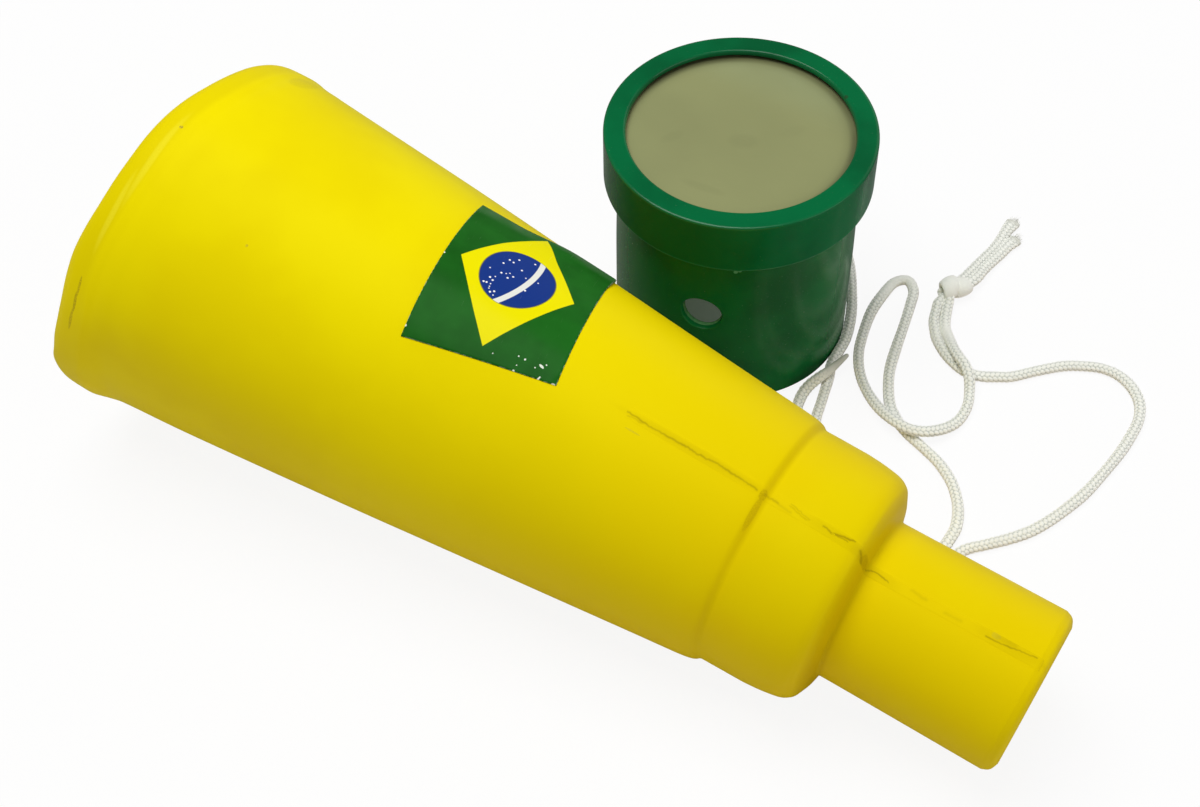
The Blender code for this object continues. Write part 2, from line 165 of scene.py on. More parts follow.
# The label's bright and faint dots, (round the cone, along it) from its middle
LABEL_DOTS = [
    (6, -4.9), (3.9, -5.8), (7.6, -2.8), (5.7, -3.7), (8.9, 1.3), (4.2, -0.7), (0.4, -4.9),
    (0.7, -1.7), (-0.4, -2.8), (-2.4, -6.8), (-3, -5.8), (-4.3, -6.9), (-4.4, -7.7), (-6.7, -4.9),
    (-6.1, -4), (-2.1, 2.8)]
LABEL_FAINT_DOTS = [
    (0.5, -8.1), (0.8, -3.7), (1.4, -2.9), (-1.6, -5.7), (-4.3, -5.8), (-5.2, -5.7), (-5.8, -5.6),
    (-7.3, -3.8), (2.1, 1.3), (2.3, 4.7)]

# Worn flecks of the print: place, half sizes
LABEL_FLECKS = [
    ((-21.1, 9), (0.22, 0.22)), ((-21.4, 10.8), (0.28, 0.26)), ((-21.7, 15.3), (0.34, 0.75)),
    ((-20.9, 16.3), (0.2, 0.22)), ((-22.6, 13.9), (0.2, 0.2)), ((-25.2, 15.7), (0.75, 0.22)),
    ((-24.7, 15.9), (0.3, 0.2)), ((-25.8, 19.7), (0.75, 0.7)), ((-25.2, 9.2), (0.25, 0.3)),
    ((-0.5, -20.3), (0.2, 0.3)), ((-22.6, 2.7), (0.18, 0.18)), ((-23.6, 9.4), (0.16, 0.16)),
    ((-22.5, -20.5), (0.35, 0.4))]

# Lifted creases of the label: place, reach, height
LABEL_CREASES = [
    ((21.5, 9.0), (1.2, 6.5), 0.16), ((23.0, -6.0), (0.9, 5.0), 0.14),
    ((19.0, 16.5), (1.6, 2.6), 0.14), ((23.9, 1.5), (0.7, 3.0), 0.12),
    ((-24.0, 18.8), (1.6, 1.2), 0.16), ((15.0, 19.2), (4.0, 0.9), 0.08)]

# The lanyard's routes in millimetres; a point without a height lies on the floor
HEAD_RUN = [
    (-19.2, 94.4, 44.9), (-20.2, 97.2, 41.6), (-20.6, 98.6, 37.5), (-20.6, 99.4, 30),
    (-19.9, 99.9, 21), (-18, 101.2, 12.5), (-14.6, 103.2, 6.2), (-9, 105.3, 2.8), (-2, 105.6),
    (6, 103), (13.5, 97.5), (18.6, 91.6), (22.4, 86.2), (26.5, 78.9), (30.3, 70.8), (33.2, 61.8),
    (33.9, 54.5), (34.4, 49.8), (36, 45), (37.6, 39), (38.9, 33.7), (40.1, 29), (43.2, 21.5),
    (48.5, 13.5), (56, 6.8), (65, 2.4), (74.5, 0.4), (83, 0.2), (88.8, 2.4), (91.6, 6.4),
    (92.1, 11), (91.7, 15.9), (89.1, 22.2), (84.4, 28.3), (78.4, 32.8), (72.5, 35.4), (67, 37.4),
    (63, 39.4), (59.4, 42), (56.5, 44.9), (53.3, 50.2), (50.3, 57.2), (48.1, 65.9), (46.2, 74.9),
    (44.1, 83.9), (42.4, 89.6), (38.9, 92.5), (35.8, 89.6), (35, 83.4), (35.1, 75.2), (36.9, 66),
    (39.3, 58.3), (43, 51.7), (48.2, 46, 2.2), (54.6, 40.9, 3.9), (61.5, 37.8, 5.4),
    (67, 37.6, 5.5), (71.3, 40.2, 4.7), (74.7, 45.2, 3), (76.3, 50.4, 1.9), (76.2, 56.2, 2.2),
    (74.4, 61.4, 2.3), (72.6, 64.7, 4.1), (69.7, 67.8, 5.3), (66.2, 70.4, 5), (62.8, 74, 3.6),
    (59.7, 77.6, 2.6), (57.5, 80.3, 2.2), (56.1, 83.2, 2.3), (54.9, 86.8, 2.8), (54.1, 89.6, 3.5)]
LONG_WAY_OUT = [(53, 94, 5.2), (54.3, 101.8, 3.8)]
LONG_END = [
    (55.2, 109.4, 2.8), (55.8, 114.3, 2.2), (56.4, 118.5, 1.9), (56.6, 123.4), (56.5, 128.1),
    (56.9, 132.6)]
TAIL_RUN = [
    (38.3, 52.6, 7.1), (37.1, 48.8, 6.3), (35.9, 45.2, 5.5), (34.4, 41.9, 4.6), (32.8, 38.6, 3),
    (32.3, 35.3, 1.9), (33, 31), (35.2, 23.5), (40.3, 13.5), (48, 4.5), (57.5, -2.3), (68, -6.2),
    (79, -7.2), (88, -4.6), (93.6, 1.2), (97.2, 9), (101.6, 13.9), (106, 18.7), (110.2, 24.2),
    (113.4, 30.4), (116.1, 37.5), (118.3, 44.7), (119.9, 53.3), (121.2, 62.7), (121.6, 70.2),
    (121.3, 77.4), (119.2, 83.5), (115.1, 88), (109.9, 90.4), (104.5, 90.4), (99.2, 88.3),
    (94.1, 85.2), (88.1, 79.4), (82.8, 73.7), (79, 71.3), (75.7, 69.4), (72.4, 68.4),
    (68.7, 68.4), (64.7, 69.9), (61.4, 71.8), (57.3, 75.3), (54.6, 79, 1.8), (53.1, 81.6, 2.1),
    (52.1, 85.2, 2.7), (51.6, 88.1, 3.4)]
SHORT_WAY_OUT = [(53.2, 93.9, 2.9), (56.9, 101.7, 3.5)]
SHORT_END = [
    (57.4, 108.2, 2.6), (58.1, 113.2, 2), (58.9, 117.7), (59.6, 122.1), (60.7, 126)]

# Where a strand folds over and its braid lies flat: x, y, spread
CORD_FOLDS = [(38.6, 92.3, 6.0), (35.6, 86, 4.0), (59.6, 78.6, 4.5)]


# Number helpers

def eased(low, high, value):
    """Share of the way from low to high with soft ends: t * t * (3 - 2 t)."""
    t = np.clip((value - low) / (high - low), 0.0, 1.0)
    return t * t * (3 - 2 * t)


def unit(vectors):
    """The same directions with length one."""
    return vectors / np.linalg.norm(vectors, axis=-1, keepdims=True)


def distance_along(line):
    """Distance of each point of a line from its start, measured along it."""
    return np.concatenate([[0.0], np.cumsum(np.linalg.norm(np.diff(line, axis=0), axis=1))])


def rounded(corners, reach, steps=6):
    """A line through corners whose every corner is cut by the curve a(1-t)^2 + 2bt(1-t) + ct^2.

    a and c lie on the two edges, reach away from the corner b or at most 0.45 of the edge.
    """
    corners = np.asarray(corners, float)
    t = np.linspace(0, 1, steps + 1)[:, None]
    parts = [corners[:1]]
    for before, corner, after, far in zip(corners, corners[1:], corners[2:], reach):
        back, on = before - corner, after - corner
        a = corner + unit(back) * min(far, 0.45 * np.linalg.norm(back))
        c = corner + unit(on) * min(far, 0.45 * np.linalg.norm(on))
        parts.append(a * (1 - t) ** 2 + 2 * corner * t * (1 - t) + c * t ** 2)
    parts.append(corners[-1:])
    return np.concatenate(parts)


def filled(line, step):
    """The same line with points added so that they stand no more than about a step apart."""
    known = distance_along(line)
    extra = np.arange(0.0, known[-1], step)
    extra = extra[np.abs(extra[:, None] - known).min(1) > 0.4 * step]
    every = np.sort(np.concatenate([known, extra]))
    return np.stack([np.interp(every, known, line[:, k]) for k in range(line.shape[1])], -1)


def smooth_line(points, step):
    """Points at even steps along the smooth curve through the chosen points.

    Between b and c, with a before and d after, the curve is half of
    2b + (c-a)t + (2a-5b+4c-d)t^2 + (3b-a-3c+d)t^3.
    """
    points = np.asarray(points, float)
    ends = np.concatenate([[2 * points[0] - points[1]], points, [2 * points[-1] - points[-2]]])
    a, b, c, d = (ends[k:len(ends) - 3 + k, None] for k in range(4))
    t = (np.arange(24) / 24)[None, :, None]
    curve = 0.5 * (2 * b + (c - a) * t + (2 * a - 5 * b + 4 * c - d) * t ** 2
                   + (3 * b - a - 3 * c + d) * t ** 3)
    curve = np.concatenate([curve.reshape(-1, points.shape[1]), points[-1:]])
    known = distance_along(curve)
    every = np.linspace(0, known[-1], max(2, round(known[-1] / step)) + 1)
    return np.stack([np.interp(every, known, curve[:, k]) for k in range(points.shape[1])], -1)


# Mesh helpers

def lattice(rows, columns, round_rows=False, round_columns=False):
    """Row and column numbers of the four corners of every quad in a grid of points.

    A number is one past the last where the grid closes on itself.
    """
    row = np.arange(rows if round_rows else rows - 1)
    column = np.arange(columns if round_columns else columns - 1)
    row, column = (a.reshape(-1, 1) for a in np.meshgrid(row, column, indexing="ij"))
    return row + np.array([0, 0, 1, 1]), column + np.array([0, 1, 1, 0])


def grid_faces(points, round_rows=False, round_columns=False, marks=None):
    """Quads of a grid of points, and their corners' places on the piece's own map.

    marks gives the map's value for each row and for each column, one more where the grid closes.
    """
    rows, columns = points.shape[:2]
    row, column = lattice(rows, columns, round_rows, round_columns)
    faces = (row % rows) * columns + column % columns
    if marks is None:
        return faces, None
    by_row, by_column = marks
    return faces, np.stack([by_column[column], by_row[row]], -1)


def make_piece(name, points, faces, look, maps=None, values=None):
    """A mesh object from points in millimetres and groups of faces.

    The faces are turned round together if the volume that they close, a sixth of the sum of
    a . (b x c) over their triangles, comes out below zero.
    """
    old = bpy.data.objects.get(name)
    if old:
        bpy.data.objects.remove(old, do_unlink=True)
    points = np.asarray(points, float).reshape(-1, 3) * MM
    volume = sum(np.einsum("ij,ij->", points[group[:, 0]],
                           np.cross(points[group[:, k]], points[group[:, k + 1]]))
                 for group in faces for k in range(1, group.shape[1] - 1))
    if volume < 0:
        faces = [group[:, ::-1] for group in faces]
        maps = [group[:, ::-1] for group in maps] if maps else None
    corners = np.concatenate([group.ravel() for group in faces])
    sizes = np.concatenate([np.full(len(group), group.shape[1]) for group in faces])
    mesh = bpy.data.meshes.new(name)
    mesh.vertices.add(len(points))
    mesh.vertices.foreach_set("co", points.ravel())
    mesh.loops.add(len(corners))
    mesh.loops.foreach_set("vertex_index", corners.astype(np.int32))
    mesh.polygons.add(len(sizes))
    mesh.polygons.foreach_set("loop_start", (np.cumsum(sizes) - sizes).astype(np.int32))
    mesh.polygons.foreach_set("use_smooth", np.ones(len(sizes), bool))
    if maps:
        layer = mesh.uv_layers.new(name="form")
        layer.uv.foreach_set("vector", np.concatenate([m.reshape(-1, 2) for m in maps]).ravel())
    for label, numbers in (values or {}).items():
        attribute = mesh.attributes.new(label, 'FLOAT', 'POINT')
        attribute.data.foreach_set("value", np.asarray(numbers, float).ravel())
    mesh.update(calc_edges=True)
    mesh.validate()
    mesh.materials.append(look)
    piece = bpy.data.objects.new(name, mesh)
    bpy.context.scene.collection.objects.link(piece)
    return piece


def lathe(name, profile, columns, look, place, wobble=None):
    """A closed profile of (radius, height) carried round an upright axis at place."""
    turn = np.arange(columns) / columns * math.tau
    radius, height = profile[:, :1] * np.ones(columns), profile[:, 1:] * np.ones(columns)
    if wobble is not None:
        radius, height = wobble(radius, height, turn)
    points = np.stack([radius * np.cos(turn), radius * np.sin(turn), height], -1) + place
    around = np.arange(columns + 1) / columns
    down = np.arange(len(profile) + 1) / len(profile)
    faces, marks = grid_faces(points, True, True, (down, around))
    return make_piece(name, points, [faces], look, [marks])


def make_tube(name, points, marks, look, values):
    """A piece from rings of points, with one flat face over its first ring and one over its last.

    marks gives the map's value for each ring, and round it for each point and once more.
    """
    faces, maps = grid_faces(points, False, True, marks)
    rows, columns = points.shape[:2]
    first = np.arange(columns)[None, ::-1]
    last = np.arange(columns)[None] + (rows - 1) * columns
    empty = np.zeros((1, columns, 2))
    return make_piece(name, points, [faces, first, last], look, [maps, empty, empty], values)


# Materials

def tinted(colour, shares):
    """A colour with all its parts times one share, or each times its own."""
    return [float(part * share) for part, share in zip(colour, np.broadcast_to(shares, 3))]


class Value:
    """A number that varies over a surface; Python's arithmetic on it adds Math nodes."""

    def __init__(self, nodes, socket):
        self.nodes = nodes
        self.socket = socket

    def maths(self, operation, *numbers):
        """Add one Math node."""
        return self.nodes.node("ShaderNodeMath", {"operation": operation},
                               dict(enumerate(numbers)))

    def __add__(self, other):
        return self.maths('ADD', self, other)

    def __sub__(self, other):
        return self.maths('SUBTRACT', self, other)

    def __rsub__(self, other):
        return self.maths('SUBTRACT', other, self)

    def __mul__(self, other):
        return self.maths('MULTIPLY', self, other)

    def __truediv__(self, other):
        return self.maths('DIVIDE', self, other)

    def __pow__(self, other):
        return self.maths('POWER', self, other)

    __radd__ = __add__
    __rmul__ = __mul__

    def size(self):
        return self.maths('ABSOLUTE', self)

    def least(self, other):
        return self.maths('MINIMUM', self, other)

    def most(self, other):
        return self.maths('MAXIMUM', self, other)

    def rise(self, low, high):
        """0 below low, 1 above high and soft between them; falls where high is below low."""
        return self.nodes.node("ShaderNodeMapRange", {"interpolation_type": 'SMOOTHSTEP'},
                               {"Value": self, "From Min": low, "From Max": high})


class Nodes:
    """A node tree in the making, of a material or the world."""

    def __init__(self, tree):
        self.tree = tree

    def node(self, kind, settings=None, sockets=None, output=0):
        """Add a node: its settings first, then the values or links of its sockets."""
        node = self.tree.nodes.new(kind)
        for key, value in (settings or {}).items():
            setattr(node, key, value)
        for key, value in (sockets or {}).items():
            self.join(value, node.inputs[key])
        return Value(self, node.outputs[output])

    def join(self, value, socket):
        """Link a value to a socket, or set the socket to a number or a colour."""
        if isinstance(value, Value):
            self.tree.links.new(value.socket, socket)
        elif socket.type == 'RGBA':
            socket.default_value = (*value[:3], 1.0)
        else:
            socket.default_value = value

    def rays(self, *kinds):
        """For each kind of ray, 1 where the surface or the world is met by it."""
        outputs = self.node("ShaderNodeLightPath").socket.node.outputs
        return [Value(self, outputs[kind]) for kind in kinds]


class Finish(Nodes):
    """A material in the making, round one Principled shader."""

    def __init__(self, name, **constants):
        old = bpy.data.materials.get(name)
        if old:
            bpy.data.materials.remove(old)
        self.material = bpy.data.materials.new(name)
        self.material.use_nodes = True
        super().__init__(self.material.node_tree)
        self.shader = self.tree.nodes["Principled BSDF"]
        for socket, value in constants.items():
            self.shader.inputs[socket.replace("_", " ")].default_value = value

    def place(self, stretch=(1, 1, 1)):
        """Object coordinates, stretched along each axis."""
        where = self.node("ShaderNodeTexCoord", output="Object")
        return self.node("ShaderNodeVectorMath", {"operation": 'MULTIPLY'}, {0: where, 1: stretch})

    def millimetres(self):
        """Object coordinates in millimetres."""
        return self.place((1000, 1000, 1000))

    def from_head(self):
        """Millimetres from the head's axis: x, y, the height and the distance from the axis."""
        x, y, z = self.parts(self.millimetres())
        x, y = x - HEAD_PLACE[0], y - HEAD_PLACE[1]
        return x, y, z, (x * x + y * y) ** 0.5

    def own_map(self, stretch=(1, 1)):
        """The piece's own map, stretched both ways."""
        where = self.node("ShaderNodeUVMap", {"uv_map": "form"})
        return self.node("ShaderNodeVectorMath", {"operation": 'MULTIPLY'},
                         {0: where, 1: (*stretch, 1)})

    def parts(self, vector):
        """The three numbers of a vector."""
        first = self.node("ShaderNodeSeparateXYZ", sockets={0: vector})
        return [Value(self, socket) for socket in first.socket.node.outputs]

    def stored(self, label):
        """A number stored on the piece's points."""
        return self.node("ShaderNodeAttribute", {"attribute_name": label}, output="Fac")

    def noise(self, where, scale, detail=3.0, rough=0.5, bend=0.0):
        """A cloudy pattern about 0.5."""
        return self.node("ShaderNodeTexNoise", None,
                         {"Vector": where, "Scale": scale, "Detail": detail,
                          "Roughness": rough, "Distortion": bend})

    def blend(self, first, second, share):
        """First colour where share is 0, second where it is 1."""
        return self.node("ShaderNodeMix", {"data_type": 'RGBA'}, {0: share, 6: first, 7: second},
                         output=2)

    def gap(self, vector, point):
        """How far a vector's end is from a point."""
        return self.node("ShaderNodeVectorMath", {"operation": 'DISTANCE'}, {0: vector, 1: point},
                         output="Value")

    def spot(self, across, along, place, half, lean=0.0, soft=0.35):
        """1 inside an ellipse of half sizes half at place, leaning by an angle, 0 outside."""
        x, y = across - place[0], along - place[1]
        c, s = math.cos(lean), math.sin(lean)
        near = ((x * c + y * s) / half[0]) ** 2 + ((y * c - x * s) / half[1]) ** 2
        return near.rise(1 + soft, 1 - soft)

    def dress(self, colour, rough=None, height=None, relief=0.0002):
        """Join the colour, the roughness and a height, of which 1 is relief metres."""
        self.join(colour, self.shader.inputs["Base Color"])
        if rough is not None:
            self.join(rough, self.shader.inputs["Roughness"])
        if height is not None:
            bump = self.node("ShaderNodeBump", None, {"Distance": relief, "Height": height})
            self.join(bump, self.shader.inputs["Normal"])
        return self.material


# Horn tube

def cone_radius(station):
    """Outer radius of the plain cone at a station, on a straight line from the mouth."""
    return MOUTH_RADIUS + (STEP_RADIUS - MOUTH_RADIUS) * station / STEP


def horn_skin(radius, station, turn):
    """Points of the horn from radius, station and turn.

    The slanted mouth moves a point along the axis by -5.3 cos(turn - 48 deg), fading out at the
    step. The lip's wavy edge stands forward and wider by its table, fading out behind it; on the
    upper side the dip behind it is filled by up to 1.1 mm. The whole moulding swells and bends by
    its own table. The wall waves by under 0.1 mm.
    """
    fade = np.clip(1 - station / STEP, 0, 1)
    lip = smooth_line(LIP, 1.0)
    bends = smooth_line(BENDS, 1.0)
    degrees = np.degrees(np.angle(np.exp(1j * turn)))
    forward, flare = (np.interp(degrees, lip[:, 0], lip[:, k]) for k in (1, 2))
    swell, back, lift = (np.interp(station, bends[:, 0], bends[:, k]) for k in (1, 2, 3))
    behind = 1.12 * eased(9.4, 15.4, station) * np.clip((47 - station) / 31.6, 0, 1)
    behind = behind * eased(-152, -122, degrees) * eased(0, -30, degrees)
    along = station - SLANT * fade * np.cos(turn - SLANT_TURN) - forward * eased(34, 0, station)
    wave = 0.05 * np.sin(2 * turn + 0.021 * station) + 0.04 * np.sin(5 * turn - 0.05 * station)
    wave = wave * eased(8, 40, station) * (1 - eased(165, 181, station))
    radius = radius + wave + swell + behind + flare * eased(18, 9, station)
    axis = np.array([math.cos(HORN_TILT), 0.0, -math.sin(HORN_TILT)])
    side = np.array([0.0, -1.0, 0.0])
    down = np.cross(axis, side)
    return (MOUTH_PLACE + along[..., None] * axis
            + (radius * np.cos(turn) - back)[..., None] * side
            + (radius * np.sin(turn))[..., None] * down
            + lift[..., None] * np.array([0.0, 0.0, 1.0]))


def horn_profile(horn):
    """Outer and inner lines of the tube, (radius, station), from the mouth to the tip and back."""
    wall = horn.wall / MM
    outer = rounded(
        [(50.5, 0.0), (52.5, 0.55), (53.65, 2.6), (53.8, 5.0), (53.85, 9.4), (52.95, 12.2),
         (cone_radius(15.2) + 0.1, 15.2), (cone_radius(20), 20), (cone_radius(90), 90),
         (cone_radius(184.4), 184.4), (33.3, 186.3), (33.25, 199.0), (32.9, 204.0), (32.0, 209.5),
         (30.3, 211.9), (26.6, 213.6), (22.5, 214.6), (22.15, 215.2), (22.2, 261.2), (21.3, 263.3),
         (19.0, 264.2)],
        [0.7, 1.4, 0.8, 0.8, 1.3, 1.4, 2.0, 4, 5, 0.8, 0.5, 3, 2.0, 0.9, 0.9, 1.0, 0.4, 0.3, 1.3,
         1.1])
    neck = 22.2 - wall
    inner = rounded(
        [(18.75, 263.9), (18.75, 262.8), (neck, 260.2), (neck, 213.0), (28.2, 211.9),
         (30.3, 209.0), (33.2 - wall, 200.0), (33.2 - wall, 186.6), (34.7 - wall, 182.8),
         (cone_radius(90) - wall, 90), (cone_radius(17) - wall, 17), (50.0, 3.4), (50.0, 0.5)],
        [0.3, 1.0, 1.4, 1.4, 1.5, 1.5, 1.0, 1.0, 5, 5, 3, 0.5])
    return filled(outer, 1.5), filled(inner, 4.0)


def horn_finish(horn):
    """Satin yellow moulded plastic: cloudy colour, grain, marks and the seam's dark bits, with
    painted shade on the lip's rolled edge, in the creases, along the seam and the step and towards
    the narrow end, and painted highlights on the lip.
    """
    finish = Finish("yellow moulded plastic", Specular_IOR_Level=0.06,
                    Specular_Tint=(1.0, 0.86, 0.08, 1.0))
    across, station, _ = finish.parts(finish.own_map((360, HORN_MAP)))
    turn = across - 180
    where = finish.place()
    cloud = finish.noise(where, 22, 3, 0.55)
    fine = finish.noise(where, 420, 2, 0.6)
    # The narrow end's more orange tone is its own; it is also a little darker as painted shade of
    # the end farther from the overhead lamp
    colour = finish.blend(horn.colour, horn.neck_colour_and_shade, station.rise(60, 215))
    colour = finish.blend(colour, tinted(horn.colour, (0.93, 0.89, 1.0)),
                          cloud.rise(0.42, 0.66) * 0.6)
    torn = finish.noise(finish.own_map((900, 700)), 1.0, 3, 0.7)
    # Painted shade: the lip's rolled front, up to about 9 mm from the rim, darker over the upper
    # side
    lip_front_shade = station.rise(9.2, 6.4) * turn.rise(-150, -110) * turn.rise(-10, -45)
    colour = finish.blend(colour, tinted(horn.colour, (0.86, 0.83, 1.0)), lip_front_shade * 0.6)
    # Painted shade in the creases at the shoulder and at the step; the step's is darker on the
    # upper side
    shoulder = station.rise(211.8, 213.6) * station.rise(216.8, 215.0)
    step = station.rise(183.8, 185.0) * station.rise(187.4, 186.0)
    crease = shoulder * 0.55 + step * (0.10 + turn.rise(-40, -66) * 0.32)
    colour = finish.blend(colour, (0.66, 0.47, 0.001), crease)
    # Painted shade along the upper seam
    for place, half, share in SEAM_SHADE_BANDS:
        seam_shade = finish.spot(turn, station, place, half, 0.0, 0.9)
        colour = finish.blend(colour, (0.60, 0.45, 0.001), seam_shade * share)
    # Painted highlights on the lip, broken up by noise
    for place, half, lean in LIP_HIGHLIGHTS:
        line = finish.spot(turn, station, place, half, lean, 0.95) * torn.rise(0.2, 0.5)
        colour = finish.blend(colour, (0.99, 0.90, 0.04), line * 0.40)
    # Marks, and one band of painted shade along the step
    for place, half, lean, shade in HORN_MARKS_AND_STEP_SHADE:
        spot = finish.spot(turn, station, place, half, lean) * torn.rise(0.25, 0.6)
        colour = finish.blend(colour, shade, spot * 0.8)
    colour = finish.blend(colour, (0.38, 0.27, 0.003), finish.stored("seam"))
    scuff = finish.noise(finish.own_map((24, 150)), 2.0, 4, 0.7).rise(0.66, 0.78)
    begin = HORN_INSIDE * HORN_MAP
    inside = station.rise(begin - 2, begin + 2)
    rough = 0.34 + cloud * 0.10 + scuff * 0.10 + inside * 0.45
    return finish.dress(colour, rough, cloud * 0.5 + fine * 0.04, 0.00025)


def build_horn_tube(horn):
    """The blow-moulded tube, a closed profile carried round its leaning axis."""
    outer, inner = horn_profile(horn)
    profile = np.concatenate([outer, inner])
    turn = np.arange(horn.columns) / horn.columns * math.tau - math.pi
    radius, station = (profile[:, k:k + 1] * np.ones(horn.columns) for k in range(2))
    points = horn_skin(radius, station, turn)
    within = HORN_INSIDE + np.arange(len(inner) + 1) / len(inner) * (1 - HORN_INSIDE)
    by_row = np.concatenate([outer[:, 1] / HORN_MAP, within])
    by_column = np.arange(horn.columns + 1) / horn.columns
    faces, marks = grid_faces(points, True, True, (by_row, by_column))
    look = horn_finish(horn)
    tube = make_piece("horn_tube_moulded", points, [faces], look, [marks])
    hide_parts("horn_tube")
    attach(tube, "horn")
    build_seams(outer, look)


def build_seams(outer, look):
    """The two moulding seams beyond the cone's middle: strips of skin with low broken lines.

    A line's height and darkness fall off from it as exp(-(distance / half width)^2); the distance
    is that to the nearest of its straight stretches, with seeded waver. The strip lies 0.05 mm
    proud and sinks into the tube at its borders.
    """
    draw = np.random.default_rng(7)
    first, last, half_strip, map_round = 143.0, 262.3, 2.0, 240.0
    line = filled(outer[outer[:, 1] > first], 0.25)
    line = line[line[:, 1] < last]
    x = np.linspace(-half_strip, half_strip, 34)
    border = eased(2.0, 1.3, np.abs(x)) * eased(0, 2, distance_along(line))[:, None]
    station = line[:, 1:] + 0 * x
    for side, middle in (("upper", SEAM_TURN), ("lower", SEAM_TURN + math.pi)):
        raw = draw.random((3, len(line)))
        waver, loud, drift = (np.convolve(r, np.hanning(n) / np.hanning(n).sum(), "same") - 0.5
                              for r, n in zip(raw, (5, 15, 90)))
        shift = (0.35 * waver + (0.0 if side == "upper" else 4.0) * drift)[:, None]
        high, dark = 0 * station, 0 * station
        for height, shade, half, points in SEAM_LINES:
            near = np.full(station.shape, 9.0)
            for (s0, x0), (s1, x1) in zip(points, points[1:]):
                run = np.array([s1 - s0, x1 - x0])
                t = ((station - s0) * run[0] + (x - x0 + shift) * run[1]) / (run @ run)
                t = np.clip(t, 0, 1)
                near = np.minimum(near, np.hypot(station - s0 - t * run[0],
                                                 x + shift - x0 - t * run[1]))
            fall = np.exp(-(near / (half * (1.3 + 0.9 * loud[:, None]))) ** 2)
            high = high + height * fall
            dark = np.maximum(dark, shade * fall * (1 + 0.8 * loud[:, None]))
        lift = (0.05 + high) * border - 0.06 * (1 - border)
        turn = middle + x / line[:, :1]
        points = horn_skin(line[:, :1] + lift, station, turn)
        low = horn_skin(line[:, :1] - 0.4 + 0 * x, station, turn)
        rings = np.concatenate([points, low[:, ::-1]], 1)
        round_way = np.concatenate([x, x[::-1], [-half_strip]]) / map_round
        marks = line[:, 1] / HORN_MAP, round_way + (middle + math.pi) / math.tau
        strip = make_tube("moulding_seam_" + side, rings, marks, look,
                          {"seam": np.concatenate([dark * border, 0 * dark], 1)})
        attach(strip, "horn")


# Sticker

def sticker_finish(sticker):
    """Printed vinyl: green field, yellow rhombus, blue disc with dots, a bare band and wear, and a
    painted reflection along the far edge.
    """
    finish = Finish("printed vinyl", Specular_IOR_Level=0.03)
    where = finish.own_map((LABEL_MAP, LABEL_MAP))
    middle = LABEL_MIDDLE
    across, along, _ = finish.parts(where)
    across, along = across - middle[0], along - middle[1]
    cloud = finish.noise(finish.place(), 60, 3, 0.6)
    wear = finish.noise(finish.place(), 900, 3, 0.7)
    soft = (cloud - 0.5) * 0.25
    colour = finish.blend(sticker.field, tinted(sticker.field, 0.72), cloud.rise(0.35, 0.7))
    lozenge = (across - 0.8).size() / 22.4 + (along + 0.4).size() / 15.9
    colour = finish.blend(colour, sticker.lozenge, (lozenge * 16 + soft).rise(16.15, 15.9))
    x, y = across - 1.0, along + 0.4
    reach = (x * x + y * y) ** 0.5
    inside = (reach + soft * 0.4).rise(10.1, 9.9)
    colour = finish.blend(colour, sticker.disc, inside)
    colour = finish.blend(colour, (0.09, 0.08, 0.04), (reach - 10.0).size().rise(0.28, 0.08) * 0.6)
    arc = ((across - 6.9) ** 2 + (along + 20.3) ** 2) ** 0.5
    band = (arc - 23.7).size().rise(0.88, 0.70) * inside
    colour = finish.blend(colour, sticker.bare, band)
    nearest = None
    for group, wider in ((LABEL_DOTS, 0.0), (LABEL_FAINT_DOTS, 0.09)):
        for dot in group:
            gap = finish.gap(where, (dot[0] + middle[0], dot[1] + middle[1], 0)) + wider
            nearest = gap if nearest is None else nearest.least(gap)
    colour = finish.blend(colour, (1.0, 1.0, 1.0), nearest.rise(0.36, 0.18))
    worn = None
    for place, half in LABEL_FLECKS:
        fleck = finish.spot(across, along, place, half, 0.5)
        worn = fleck if worn is None else worn.most(fleck)
    worn = worn * (wear * 1.4 + 0.5)
    # Painted reflection: a pale green-grey sheen along the far edge, where the label turns away
    edge_reflection = across.rise(19.0, 23.0) * cloud.rise(0.30, 0.60) * 0.35
    colour = finish.blend(colour, (0.17, 0.28, 0.16), edge_reflection)
    edge = (across.size() - LABEL_HALF[0]).most(along.size() - LABEL_HALF[1])
    rim = edge.rise(-0.28, -0.02) * wear.rise(0.45, 0.62)
    colour = finish.blend(colour, (0.88, 0.96, 0.84), worn.most(rim * 0.3))
    scratch = finish.noise(finish.own_map((9, 160)), 1.6, 3, 0.7).rise(0.66, 0.72)
    colour = finish.blend(colour, (0.42, 0.45, 0.36), scratch * 0.10)
    rough = 0.20 + scratch * 0.25 + worn * 0.4 + cloud * 0.08
    height = cloud * 0.5 + wear * 0.05 - worn * 0.5
    return finish.dress(colour, rough, height, 0.00015)


